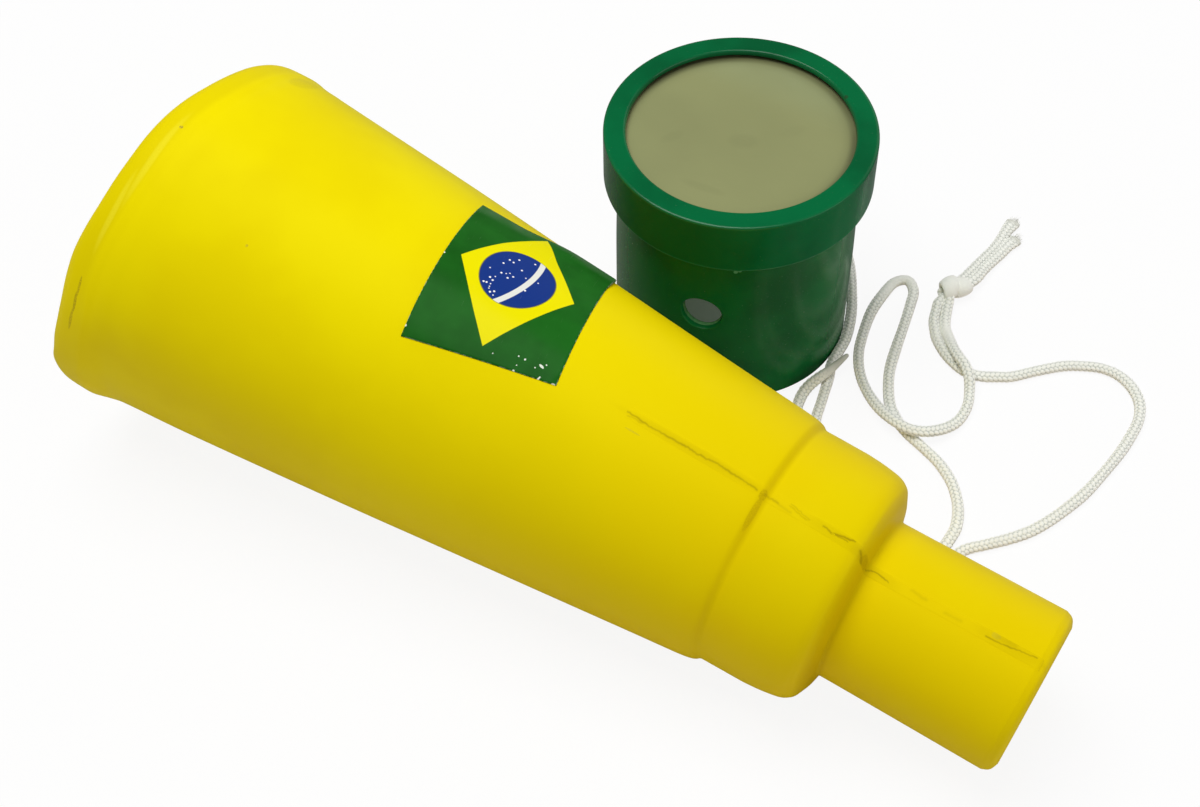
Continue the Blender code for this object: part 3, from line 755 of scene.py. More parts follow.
def build_sticker(sticker):
    """The label: a flat grid bent round the cone, a little off square, with lifted creases.

    A crease stands proud by its height times exp(-x^2 - y^2) over its own place. Towards the tip
    the far edge comes loose: it stands 0.85 mm off the cone and reaches 2.4 mm further round.
    """
    columns, rows = 150, 110
    middle, centre_turn, lean = LABEL_PLACE
    across = np.linspace(-1, 1, columns + 1)[None, :] * LABEL_HALF[0]
    along = np.linspace(-1, 1, rows + 1)[:, None] * LABEL_HALF[1]
    across, along = across + 0 * along, along + 0 * across
    round_way = across * math.cos(lean) + along * math.sin(lean)
    axis_way = along * math.cos(lean) - across * math.sin(lean)
    station = middle + axis_way
    wider = 2.4 * eased(-8, 10, along) * eased(14, LABEL_HALF[0], across)
    turn = centre_turn - (round_way + wider) / (cone_radius(middle) + 0.5)
    crease = 0.0
    for place, half, high in LABEL_CREASES:
        crease = crease + high * np.exp(-((across - place[0]) / half[0]) ** 2
                                        - ((along - place[1]) / half[1]) ** 2)
    edge = np.minimum(LABEL_HALF[0] - np.abs(across), LABEL_HALF[1] - np.abs(along))
    crease = crease + 0.85 * eased(-10, 8, along) * eased(13, LABEL_HALF[0], across)
    top = 0.30 - 0.12 * (1 - eased(0, 0.35, edge)) + crease
    low = 0.08 + 0.0 * across
    skin = [horn_skin(cone_radius(station) + lift, station, turn) for lift in (top, low)]
    wide = columns + 1
    count = wide * (rows + 1)
    marks = ((along[:, 0] + LABEL_MIDDLE[1]) / LABEL_MAP, (across[0] + LABEL_MIDDLE[0]) / LABEL_MAP)
    faces, maps = grid_faces(skin[0], marks=marks)
    border = np.concatenate([np.arange(wide), np.arange(1, rows + 1) * wide + columns,
                             rows * wide + np.arange(columns - 1, -1, -1),
                             np.arange(rows - 1, 0, -1) * wide])
    on = np.roll(border, -1)
    sides = np.stack([border, border + count, on + count, on], -1)
    row, column = sides % count // wide, sides % count % wide
    side_maps = np.stack([marks[1][column], marks[0][row]], -1)
    label = make_piece("flag_label", np.concatenate([s.reshape(-1, 3) for s in skin]),
                       [faces, faces[:, ::-1] + count, sides], sticker_finish(sticker),
                       [maps, maps[:, ::-1], side_maps])
    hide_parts("flag_sticker")
    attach(label, "horn")


# Sounding head

def head_point(radius, azimuth, height):
    """Points round the head's upright axis."""
    return np.stack([radius * np.cos(azimuth), radius * np.sin(azimuth),
                     height + 0 * radius], -1) + HEAD_PLACE


def outer_radius(height):
    """Outer radius of the sleeve: 34.7 under the cap, easing out to 35.1 towards its foot."""
    return SLEEVE_RADIUS + SLEEVE_FLARE * eased(60, 30, height)


def bore_radius(height):
    """Inner radius of the sleeve: 33.4 below the ledge, 32.2 above it."""
    ledge = BORE_RADIUS - LEDGE_RADIUS
    return BORE_RADIUS - ledge * np.clip((height - LEDGE_FOOT) / ledge, 0, 1)


def dark_green_finish(name, colour, gloss, rough, marks=()):
    """Moulded green with faint flow lines, dust and edges that shine a little more, with painted
    light inside the sleeve, a painted highlight on the cap's foot edge and painted shade on the
    cap's side towards -X.
    """
    finish = Finish(name, Specular_IOR_Level=gloss, Coat_Roughness=0.12)
    x, _, z, reach = finish.from_head()
    inside = reach.rise(33.75, 33.5) * z.rise(73.3, 73.0)
    edge = z.rise(75.2, 75.9) * reach.rise(33.1, 32.6).most(reach.rise(37.6, 38.1))
    finish.join(edge * 0.35, finish.shader.inputs["Coat Weight"])
    where = finish.place()
    cloud = finish.noise(where, 35, 3, 0.55)
    dust = finish.noise(where, 1500, 2, 0.7)
    lines = finish.noise(finish.place((1, 1, 14)), 55, 3, 0.6)
    shade = finish.blend(colour, tinted(colour, 0.7), cloud.rise(0.4, 0.68))
    shade = finish.blend(shade, (0.16, 0.20, 0.15), dust.rise(0.70, 0.80) * 0.35)
    # Painted highlight: a thin lighter line along the cap's foot edge
    foot = reach.rise(38.0, 38.4) * z.rise(CAP_FOOT + 0.8, CAP_FOOT + 0.3)
    shade = finish.blend(shade, (0.06, 0.24, 0.12), foot * 0.6)
    # Painted shade: the cap's skirt is darker towards -X, its left side
    skirt = reach.rise(38.1, 38.4) * z.rise(75.9, 75.4) * z.rise(CAP_FOOT + 0.5, CAP_FOOT + 1.2)
    shade = finish.blend(shade, (0.004, 0.080, 0.010), skirt * x.rise(32, 4) * 0.65)
    for place, half, tint in marks:
        gap = finish.gap(finish.millimetres(), place)
        shade = finish.blend(shade, tint, gap.rise(half, half * 0.5) * 0.7)
    # Painted light: the sleeve's inside, lit through the membrane, is painted a lighter green
    shade = finish.blend(shade, (0.13, 0.36, 0.15), inside * 0.8)
    rough = cloud * 0.12 + dust.rise(0.6, 0.8) * 0.12 + rough
    return finish.dress(shade, rough, cloud * 0.45 + lines * 0.08 + dust * 0.015, 0.0002)


def hole_patch(radius_at, hole, azimuths, heights, half, lip):
    """Rings of points from a square of the wall's grid to the rim of a round hole.

    On the unrolled wall a ring's point is the blend of the square's border point and the circle's
    point at the same angle. The first ring is the border itself, so that it joins the grid.
    """
    centre, height, rim = hole
    count = len(azimuths)
    column = int(np.argmin(np.abs(np.angle(np.exp(1j * (azimuths - centre))))))
    row = int(np.argmin(np.abs(heights - height)))
    run = np.arange(-half, half)
    end = run * 0 + half
    sides = ((run, -end), (end, run), (-run, end), (-end, -run))
    border = np.concatenate([np.stack(side, -1) for side in sides])
    gap = np.angle(np.exp(1j * (azimuths[(column + border[:, 0]) % count] - centre)))
    square = np.stack([gap * SLEEVE_RADIUS, heights[row + border[:, 1]] - height], -1)
    circle = unit(square) * (rim + lip)
    share = np.array([0.0, 0.35, 0.65, 0.85, 0.95, 1.0])[:, None, None]
    flat = square * (1 - share) + circle * share
    high = height + flat[..., 1]
    return head_point(radius_at(high), centre + flat[..., 0] / SLEEVE_RADIUS, high), (column, row)


def hole_wall(hole, border, rings):
    """Rings of the hole's own wall, each with how much wider than the hole and how deep it is."""
    centre, height, rim = hole
    points = []
    for wider, depth in rings:
        ring = unit(border) * (rim + wider)
        high = height + ring[:, 1]
        radius = outer_radius(high) * (1 - depth) + bore_radius(high) * depth
        points.append(head_point(radius, centre + ring[:, 0] / SLEEVE_RADIUS, high))
    return np.stack(points)


def sleeve_profile(heights):
    """The sleeve's closed line of (radius, height): up the outside, over the top, down the bore.

    Also the rows where the outside's and the bore's heights begin, the bore's from its last one.
    """
    outer = [(34.75, 0.0), (35.0, 0.1), (35.1, 0.35)]
    outer += [(float(outer_radius(height)), height) for height in heights[1:-1]]
    top = [(34.7, BODY_HEIGHT - 0.4), (34.55, BODY_HEIGHT - 0.1), (34.3, BODY_HEIGHT),
           (32.4, BODY_HEIGHT)]
    inner = [(float(bore_radius(height)), height) for height in heights[-2:0:-1]]
    foot = [(33.4, 0.1), (33.55, 0.0)]
    first_inner = len(outer) + len(top) + len(heights) - 2
    return np.array(outer + top + inner + foot), 2, first_inner


def build_head_body(head):
    """The sleeve: a closed profile round the head's axis, with two round holes let into its grid.

    The grid's columns and rows are spaced so that each hole's middle falls on a crossing; a square
    of quads round it is left out and filled by rings, on the outside and on the inside.
    """
    (blow_turn, blow_height, _), (cord_turn, cord_height, _) = BLOW_HOLE, CORD_HOLE
    azimuths = np.concatenate([np.linspace(blow_turn, cord_turn, 102)[:-1],
                               np.linspace(cord_turn, blow_turn + math.tau, 92)[:-1]])
    heights = np.concatenate([np.linspace(0, blow_height, 33),
                              np.linspace(blow_height, cord_height, 10)[1:],
                              np.linspace(cord_height, BODY_HEIGHT, 25)[1:]])
    profile, first_outer, first_inner = sleeve_profile(heights)
    turn = azimuths[None, :] + 0 * profile[:, :1]
    points = head_point(profile[:, :1] + 0 * turn, turn, profile[:, 1:] + 0 * turn)
    rows, columns = points.shape[:2]
    row, column = lattice(rows, columns, True, True)
    faces, _ = grid_faces(points, True, True)
    keep = np.ones(len(faces), bool)
    groups, clouds, total = [], [points.reshape(-1, 3)], rows * columns
    for hole, half in ((BLOW_HOLE, 7), (CORD_HOLE, 3)):
        patches = []
        for radius_at, lip in ((outer_radius, 0.35), (bore_radius, 0.2)):
            patch, (middle, level) = hole_patch(radius_at, hole, azimuths, heights, half, lip)
            patches.append(patch)
        low, high = level - half, level + half
        west_side = (column[:, 0] - (middle - half)) % columns < 2 * half
        for first, last in ((low + first_outer, high + first_outer),
                            (first_inner - high, first_inner - low)):
            keep &= ~(west_side & (row[:, 0] >= first) & (row[:, 2] <= last))
        rim = patches[0][-1] - HEAD_PLACE
        gap = np.angle(np.exp(1j * (np.arctan2(rim[:, 1], rim[:, 0]) - hole[0])))
        like = np.stack([gap * SLEEVE_RADIUS, rim[:, 2] - hole[1]], -1)
        wall = hole_wall(hole, like, [(0.35, 0.0), (0.22, 0.016), (0.09, 0.06), (0.0, 0.14),
                                      (0.0, 0.76), (0.0, 0.92), (0.2, 1.0)])
        for sheet, flip in ((patches[0], False), (patches[1], True), (wall, False)):
            quads, _ = grid_faces(sheet, False, True)
            groups.append((quads[:, ::-1] if flip else quads) + total)
            clouds.append(sheet.reshape(-1, 3))
            total += len(clouds[-1])
    pale = (0.14, 0.42, 0.26)
    marks = [((-20, 22, 8), 1.2, (0.10, 0.16, 0.10)), ((13.3, 24.1, 55.0), 0.8, pale),
             ((14.3, 24.6, 55.5), 0.7, pale)]
    look = dark_green_finish("dark green moulded plastic", head.body_colour, 0.20, 0.16, marks)
    body = make_piece("head_sleeve", np.concatenate(clouds), [faces[keep]] + groups, look)
    mesh = bmesh.new()
    mesh.from_mesh(body.data)
    bmesh.ops.remove_doubles(mesh, verts=mesh.verts, dist=2e-6)
    bmesh.ops.recalc_face_normals(mesh, faces=mesh.faces)
    mesh.to_mesh(body.data)
    mesh.free()
    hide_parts("head_body")
    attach(body, "head")


def build_cap_ring(head):
    """The pressed-on ring with rounded edges, a drafted opening and a gate mark at its foot."""
    line = rounded(
        [(36.4, CAP_FOOT), (38.25, CAP_FOOT), (38.6, CAP_FOOT + 0.35), (38.6, CAP_TOP - 0.7),
         (38.45, CAP_TOP - 0.15), (37.9, CAP_TOP), (32.8, CAP_TOP), (32.35, CAP_TOP - 0.45),
         (32.15, 75.0), (32.5, 74.75), (33.4, 74.6), (33.6, 74.1), (35.02, 74.1),
         (35.02, CAP_FOOT + 0.5), (35.3, CAP_FOOT), (36.4, CAP_FOOT)],
        [0.25, 0.3, 0.4, 0.3, 0.4, 0.4, 0.3, 0.2, 0.3, 0.2, 0.1, 0.2, 0.3, 0.2], 4)

    def wobble(radius, height, turn):
        """The top face waves by 0.03 mm, and a small gate mark stands on the skirt's foot."""
        top = eased(76.0, 76.3, height)
        aside = np.angle(np.exp(1j * (turn - math.radians(-61)))) * 38.5
        gate = np.exp(-(aside / 1.1) ** 2)
        foot = eased(61.2, 60.0, height) * eased(38.0, 38.4, radius)
        return radius + 0.18 * gate * foot, height - 0.03 * top * (1 + np.sin(3 * turn))

    look = dark_green_finish("green cap plastic", head.cap_colour, 0.09, 0.14,
                             [((16.0, 81.2, 76.4), 0.9, (0.02, 0.06, 0.02))])
    cap = lathe("cap_ring_moulded", filled(line[:-1], 1.0), 320, look, HEAD_PLACE, wobble)
    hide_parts("cap_ring")
    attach(cap, "cap")


def membrane_finish(head):
    """Thin olive film: smudges, faint drawing lines, a darker middle, a painted shadow of the ring
    on its border and a painted reflection of the ring towards the back; it passes light.
    """
    finish = Finish("olive film", Specular_IOR_Level=0.15, Alpha=0.72)
    x, y, _, reach = finish.from_head()
    where = finish.place()
    cloud = finish.noise(where, 26, 3, 0.5)
    fine = finish.noise(finish.place((1, 5, 1)), 160, 3, 0.7)
    tint = finish.blend(tinted(head.film_colour, 0.95), head.film_colour, reach.rise(6, 28))
    # Painted reflection of the green ring on the film towards the back
    tint = finish.blend(tint, (0.40, 0.46, 0.25), y.rise(12, 33) * 0.7)
    # Painted shadow of the ring's lip on the film's border, at the back and the sides
    tint = finish.blend(tint, tinted(head.film_colour, 0.62),
                        reach.rise(27.5, 32.3) * (y + x * 0.2).rise(-22, 14) * 0.55)
    tint = finish.blend(tint, tinted(head.film_colour, 0.35),
                        reach.rise(29.8, 31.9) * (y + x * 0.2).rise(-24, 8) * 0.9)
    tint = finish.blend(tint, tinted(head.film_colour, 0.86), cloud.rise(0.42, 0.70) * 0.5)
    for place, half, lean, share in (((1.8, -1.7), (4.0, 2.6), 0.5, 0.22),
                                     ((-16.2, -10.2), (3.4, 1.6), 1.1, 0.16),
                                     ((1.1, -23.1), (6.0, 1.3), 0.1, 0.18),
                                     ((12.0, 9.0), (3.4, 2.0), 0.9, 0.10)):
        smudge = finish.spot(x, y, place, half, lean, 0.9)
        tint = finish.blend(tint, tinted(head.film_colour, 0.72), smudge * share)
    tint = finish.blend(tint, tinted(head.film_colour, 1.18), fine.rise(0.6, 0.8) * 0.15)
    return finish.dress(tint, 0.34 + cloud * 0.12, cloud * 0.5 + fine * 0.06, 0.00025)


def build_membrane(head):
    """The clamped film: rings of points whose top face lies in shallow waves.

    The height is 73.74 + 0.03 sin(4 azimuth + 0.2 radius) times the share of the radius.
    """
    rings, columns = 36, 144
    reach = np.linspace(FILM_RADIUS / rings, FILM_RADIUS, rings)[:, None]
    turn = np.arange(columns)[None, :] / columns * math.tau
    wave = 0.03 * np.sin(4 * turn + 0.2 * reach) * np.clip(reach / 20, 0, 1)
    wave = wave * (1 - eased(29, 32, reach))
    top = np.stack([reach * np.cos(turn), reach * np.sin(turn), FILM_TOP + wave], -1)
    low = np.stack([reach[::-1] * np.cos(turn), reach[::-1] * np.sin(turn),
                    FILM_FOOT + 0 * wave], -1)
    sheet = np.concatenate([top, low]) + HEAD_PLACE
    poles = [HEAD_PLACE + (0, 0, height) for height in (FILM_TOP, FILM_FOOT)]
    points = np.concatenate([sheet.reshape(-1, 3), poles])
    faces, _ = grid_faces(sheet, False, True)
    ring = np.arange(columns)
    on = np.roll(ring, -1)
    pole = 2 * rings * columns
    base = pole - columns
    first = np.stack([on, ring, ring * 0 + pole], -1)
    last = np.stack([ring + base, on + base, ring * 0 + pole + 1], -1)
    film = make_piece("membrane_film", points, [faces, first, last], membrane_finish(head))
    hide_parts("membrane")
    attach(film, "head")


# Lanyard

def cord_line(route):
    """Points 0.25 mm apart along a route, let down for the flattened cord.

    It lies 0.25 mm lower than a round cord, and its humps are a seventh lower.
    """
    line = smooth_line([(*point, CORD_LYING)[:3] for point in route], 0.25)
    height = line[:, 2]
    drop = 0.25 + 0.135 * (np.clip(height, CORD_LYING, 7.1) - CORD_LYING)
    line[:, 2] = height - drop * (1 - eased(9, 26, height))
    return line


def braid(way, turn, pitch, columns):
    """How proud the braid stands, from 0 in its gaps to 1 on a stitch.

    Stitches stand in columns round the cord. Every other column is half a pitch on and leans the
    other way, and each stitch is half an ellipsoid, the root of 1 - x^2 - y^2, over its own place.
    """
    proud = np.zeros(np.broadcast(way, turn).shape)
    column = turn * columns
    for c in (-1, 0, 1):
        k = np.floor(column) + c
        odd = np.mod(k, 2)
        x = column - k - 0.5
        step = way / pitch - 0.5 * odd
        for r in (-1, 0, 1):
            n = np.floor(step) + r
            y = step - n - 0.5
            lean = (2 * odd - 1) * 0.42
            vary = 0.92 + 0.08 * np.sin(12.9898 * np.mod(k, columns) + 78.233 * n)
            across = (x - lean * y) / 0.52
            proud = np.maximum(proud, vary * (1 - across ** 2 - (y / 0.56) ** 2))
    return np.sqrt(np.clip(proud, 0, None))


def cord_finish(lanyard):
    """White braided yarn: grey-green painted shade in the gaps, pale on the stitches, with fine
    threads.
    """
    finish = Finish("white braided yarn", Specular_IOR_Level=0.25, Sheen_Weight=0.3,
                    Sheen_Roughness=0.5)
    stitch = finish.stored("stitch")
    burnt = finish.stored("burnt")
    cloud = finish.noise(finish.place(), 90, 3, 0.6)
    thread = finish.noise(finish.own_map((26, 700)), 1.0, 2, 0.6, 1.5)
    # Painted shade deep between the stitches
    colour = finish.blend(lanyard.gap_shade_colour, lanyard.colour, stitch.rise(0.05, 0.80))
    colour = finish.blend(colour, tinted(lanyard.colour, 0.90), cloud.rise(0.48, 0.75) * 0.5)
    colour = finish.blend(colour, tinted(lanyard.colour, 0.84), thread.rise(0.52, 0.7) * 0.22)
    colour = finish.blend(colour, (0.42, 0.43, 0.36), burnt * 0.75)
    rough = 0.72 - burnt * 0.3
    return finish.dress(colour, rough, thread * 0.6 + cloud * 0.2, 0.00012)


def rings_round(line, upward, wide, high, proud):
    """Rings of points round a line: on each, wide cos(a) aside plus high sin(a) up, times proud."""
    along = unit(np.gradient(line, axis=0))
    over = unit(upward - (upward * along).sum(-1, keepdims=True) * along)
    aside = np.cross(along, over)
    turn = np.arange(proud.shape[1]) / proud.shape[1] * math.tau
    return (line[:, None] + (proud * wide[:, None] * np.cos(turn))[..., None] * aside[:, None]
            + (proud * high[:, None] * np.sin(turn))[..., None] * over[:, None])


def build_strand(name, line, upward, lanyard, look, start_end, far_end):
    """One strand: a tube whose section is the braid's, with its two ends finished.

    An end is cut or burnt: a cut one is ragged, a burnt one tapers to a smooth point.
    """
    way = distance_along(line)
    sides = 40
    turn = (np.arange(sides) / sides)[None, :]
    half = 0.5 * lanyard.diameter / MM
    proud = braid(way[:, None], turn, STITCH_PITCH, STITCH_COLUMNS)
    wide = half * (1.10 + 0.04 * np.sin(way / 9.0) + 0.03 * np.sin(way / 3.7))
    high = half * (0.92 - 0.03 * np.sin(way / 9.0))
    flat = np.ones(len(line))
    burnt = np.zeros(len(line))
    for kind, gap in ((start_end, way), (far_end, way[-1] - way)):
        if kind == "burnt":
            taper = np.sqrt(np.clip(gap / 11.0, 0.0, 1)) * 0.82 + 0.18 * eased(0, 14, gap)
            tip = np.sqrt(1 - (1 - np.clip(gap / 0.8, 0, 1)) ** 2)
            wide, high = wide * (0.25 + 0.75 * taper) * tip, high * (0.30 + 0.70 * taper) * tip
            flat = flat * eased(5, 15, gap)
            burnt = np.maximum(burnt, 1 - eased(3, 14, gap))
        else:
            tip = 0.75 + 0.25 * np.sqrt(1 - (1 - np.clip(gap / 0.4, 0, 1)) ** 2)
            near = 1 - eased(0, 6.0, gap)
            wide = wide * tip * (1 + 0.06 * (1 - eased(20, 40, gap)) + 0.28 * near)
            high = high * tip * (1 - 0.22 * near)
            flat = flat * (0.35 + 0.65 * eased(0, 3, gap))
            burnt = np.maximum(burnt, 0.65 * (1 - eased(0.5, 2.8, gap)))
    for x, y, spread in CORD_FOLDS:
        away = np.hypot(line[:, 0] - x, line[:, 1] - y)
        flat = flat * (1 - 0.75 * np.exp(-(away / spread) ** 2))
    proud = proud * flat[:, None] + 0.8 * (1 - flat[:, None])
    points = rings_round(line, upward, wide, high, 0.80 + 0.20 * proud)
    points[..., 2] = np.maximum(points[..., 2], CORD_LOWEST)
    return make_tube(name, points, (way / 1000, np.arange(sides + 1) / sides), look,
                     {"stitch": proud, "burnt": burnt[:, None] + 0 * proud})


def coiled_band(name, centre, lead, span, turns, section, reach, look, phase=0.0, lean=0.0):
    """A band wound round an axis: at angle a, centre + lead (share) + reach cos(a) + reach sin(a).

    Its two ends turn in towards the axis, so that they hide under the winding.
    """
    share = np.linspace(0, 1, round(150 * turns))
    angle = phase + share * turns * math.tau
    lead = unit(np.asarray(lead, float))
    aside = unit(np.cross(lead, (0, 0, 1.0)))
    over = np.cross(aside, lead)
    draw_in = 1 - 0.45 * (1 - eased(0, 0.10, share)) - 0.45 * (1 - eased(0, 0.10, 1 - share))
    shift = (share - 0.5) * span + lean * np.cos(angle)
    line = (np.asarray(centre, float) + shift[:, None] * lead
            + (reach[0] * draw_in * np.cos(angle))[:, None] * aside
            + (reach[1] * draw_in * np.sin(angle))[:, None] * over)
    outward = unit((np.cos(angle) / reach[0])[:, None] * aside
                   + (np.sin(angle) / reach[1])[:, None] * over)
    sides = 28
    way = distance_along(line)
    turn = (np.arange(sides) / sides)[None, :]
    proud = braid(way[:, None], turn, STITCH_PITCH, STITCH_COLUMNS)
    ends = np.sqrt(np.clip(np.minimum(way, way[-1] - way) / 0.8, 0, 1))
    flat = section[2]
    proud = proud * flat + 0.62 * (1 - flat)
    points = rings_round(line, outward, section[0] * ends + 0.02, section[1] * ends + 0.02,
                         0.86 + 0.14 * proud)
    points[..., 2] = np.maximum(points[..., 2], CORD_LOWEST)
    return make_tube(name, points, (way / 1000, np.arange(sides + 1) / sides), look,
                     {"stitch": proud, "burnt": 0 * proud})


def build_fibres(name, tips, look):
    """Loose fibre ends: thin four-sided threads that leave a cut end and curl a little.

    A thread's point at share t is root + length t lead + curl t^2, and its radius falls with t.
    """
    draw = np.random.default_rng(11)
    count, steps = 70, 6
    every, groups, total = [], [], 0
    for tip, lead in tips:
        lead = unit(np.asarray(lead, float))
        aside = unit(np.cross(lead, (0, 0, 1.0)))
        over = np.cross(aside, lead)
        angle, reach = draw.random(count) * math.tau, np.sqrt(draw.random(count))
        root = (np.asarray(tip) - 0.5 * lead + (1.35 * reach * np.cos(angle))[:, None] * aside
                + (1.05 * reach * np.sin(angle))[:, None] * over)
        out = unit(lead + 0.35 * (draw.random((count, 3)) - 0.5)
                   + 0.25 * (np.cos(angle)[:, None] * aside + np.sin(angle)[:, None] * over))
        length = 0.8 + 1.5 * draw.random(count)
        curl = 0.9 * (draw.random((count, 3)) - 0.5)
        t = np.linspace(0, 1, steps)
        line = (root[:, None] + (length[:, None] * t)[..., None] * out[:, None]
                + (t ** 2)[:, None] * curl[:, None])
        thick = 0.07 * (1 - 0.5 * t)
        corner = np.arange(4) / 4 * math.tau
        ring = (np.cos(corner)[:, None] * aside + np.sin(corner)[:, None] * over)
        points = line[:, :, None] + thick[:, None, None] * ring
        points[..., 2] = np.maximum(points[..., 2], CORD_LOWEST)
        quads, _ = grid_faces(points[0], False, True)
        ends = [[3, 2, 1, 0], [steps * 4 - k for k in (4, 3, 2, 1)]]
        quads = np.concatenate([quads, ends])
        groups.append((quads[None] + (np.arange(count) * steps * 4)[:, None, None]).reshape(-1, 4)
                      + total)
        every.append(points.reshape(-1, 3))
        total += count * steps * 4
    points = np.concatenate(every)
    size = np.ones(len(points))
    return make_piece(name, points, [np.concatenate(groups)], look, None,
                      {"stitch": 0.8 * size, "burnt": 0.3 * size})


def build_lanyard(lanyard):
    """Two strands of hollow braid tied together, one of them held in the head's wall."""
    look = cord_finish(lanyard)
    azimuth, height, _ = CORD_HOLE
    radial = np.array([math.cos(azimuth), math.sin(azimuth), 0.0])
    hole = HEAD_PLACE + (0, 0, height)
    inside = [hole + radial * r for r in (28.5, 32.2, 36.7, 39.3)]
    first = cord_line(inside + HEAD_RUN + LONG_WAY_OUT + LONG_END)
    second = cord_line((TAIL_RUN + SHORT_WAY_OUT + SHORT_END)[::-1])
    tangent = np.array([-math.sin(azimuth), math.cos(azimuth), 0.0])
    along = unit(np.gradient(first, axis=0))
    way = distance_along(first)
    upper = np.cross(along, tangent)
    upper = unit(upper * np.sign((upper[:1] * (0, 0, 1.0)).sum()))
    share = eased(58, 84, way)[:, None]
    upward = upper * (1 - share) + np.array([0, 0, 1.0]) * share
    strand_a = build_strand("lanyard_long_strand", first, upward, lanyard, look, "cut", "cut")
    up = np.zeros_like(second) + (0, 0, 1.0)
    strand_b = build_strand("lanyard_short_strand", second, up, lanyard, look, "cut", "burnt")
    wraps = [coiled_band("knot_wrap_outer", (52.1, 94.0, 4.1), (4.5, 9.0, 0.2), 1.4, 1.4,
                         (3.0, 1.1, 0.0), (2.5, 2.2), look, 3.6, -0.7),
             coiled_band("knot_wrap_inner", (54.6, 96.6, 3.5), (5.0, 8.5, -0.4), 1.6, 1.35,
                         (3.0, 0.95, 0.0), (2.45, 1.9), look, 3.6, 0.6)]
    stopper = coiled_band("stopper_wrap", hole + radial * 28.0, radial, 3.4, 2.2,
                          (1.45, 1.2, 0.5), (2.35, 2.35), look, 0.0, 0.3)
    fibres = build_fibres("cut_fibres", [(first[-1], first[-1] - first[-8]),
                                         (second[0], second[0] - second[8])], look)
    for piece in (strand_a, strand_b, stopper, fibres, *wraps):
        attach(piece, "head")
    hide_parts("cord_stub", "cord_head_run", "cord_end_long")
    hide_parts("cord_tail_run", "cord_end_short")
    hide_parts("cord_knot")
    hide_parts("stopper_knot")
    (first[::10] * MM).tolist()
    tuple(second[0] * MM)
    (second[::10] * MM).tolist()


# Stage

def build_camera(stage):
    """The camera at the photograph's place, angle and field of view."""
    x = unit(math.cos(CAMERA_ROLL) * CAMERA_RIGHT + math.sin(CAMERA_ROLL) * CAMERA_UP)
    z = unit(np.cross(CAMERA_RIGHT, CAMERA_UP))
    y = np.cross(z, x)
    data = bpy.data.cameras.new("camera")
    data.sensor_width = 36.0
    data.lens = stage.focal_length
    data.clip_start = 0.01
    camera = bpy.data.objects.new("camera", data)
    turn = Matrix(np.stack([x, y, z], 1).tolist()).to_4x4()
    camera.matrix_world = Matrix.Translation((CAMERA_PLACE * MM).tolist()) @ turn
    bpy.context.scene.collection.objects.link(camera)
    bpy.context.scene.camera = camera


def build_lamp(name, place, aim, size, watts):
    """A square soft lamp that faces a point."""
    data = bpy.data.lights.new(name, 'AREA')
    data.shape = 'SQUARE'
    data.size = size
    data.energy = watts
    lamp = bpy.data.objects.new(name, data)
    z = unit(np.asarray(place, float) - np.asarray(aim, float))
    x = unit(np.cross((0.0, 1.0, 0.001), z))
    turn = Matrix(np.stack([x, np.cross(z, x), z], 1).tolist()).to_4x4()
    lamp.matrix_world = Matrix.Translation(place) @ turn
    bpy.context.scene.collection.objects.link(lamp)


def build_floor(stage):
    """A wide pale floor that a camera sees nearly white and a mirror sees darker, with the soft
    shadow kept.

    Inside the head, where light comes through green walls, it glows only a little and green.
    """
    half, level = 2500, -0.02
    points = np.array([(-half, -half, level), (half, -half, level), (half, half, level),
                       (-half, half, level)])
    finish = Finish("pale floor", Roughness=0.9, Specular_IOR_Level=0.0)
    grain = finish.noise(finish.place(), 30, 3, 0.6)
    camera, passed, glossy = finish.rays("Is Camera Ray", "Is Transmission Ray", "Is Glossy Ray")
    seen = camera.most(passed)
    # Painted bounce light: rays other than the camera's see the floor darker and warmer, for the
    # horn's yellow light thrown back
    dimmer = tinted(stage.floor_colour, (0.93, 0.85, 0.80))
    colour = finish.blend(dimmer, stage.floor_colour, seen)
    colour = finish.blend(colour, [stage.mirrored] * 3, glossy)
    finish.dress(finish.blend(colour, tinted(stage.floor_colour, 0.99), grain * seen))
    beside = finish.from_head()[3].rise(33.3, 34.0)
    lit = finish.blend((0.42, 0.66, 0.36), (1, 1, 1), beside)
    glow = finish.node("ShaderNodeEmission", None, {"Color": lit, "Strength": 1.0})
    plain = Value(finish, finish.shader.outputs[0])
    both = finish.node("ShaderNodeMixShader", None,
                       {0: seen * (beside * 0.84 + 0.06), 1: plain, 2: glow})
    finish.join(both, finish.tree.nodes["Material Output"].inputs["Surface"])
    floor = make_piece("floor", points, [np.array([[0, 1, 2, 3]])], finish.material)


def build_world(stage):
    """A plain pale world: white where it is seen, dimmer as a fill light."""
    world = bpy.data.worlds.new("studio")
    world.use_nodes = True
    nodes = Nodes(world.node_tree)
    strength = stage.fill
    rays = nodes.rays("Is Camera Ray", "Is Glossy Ray", "Is Transmission Ray")
    for ray, share in zip(rays, (1.0, stage.mirrored, 1.0)):
        strength = ray * (share - stage.fill) + strength
    background = world.node_tree.nodes["Background"]
    nodes.join(strength, background.inputs["Strength"])
    nodes.join((1.0, 0.95, 0.91), background.inputs["Color"])
    bpy.context.scene.world = world


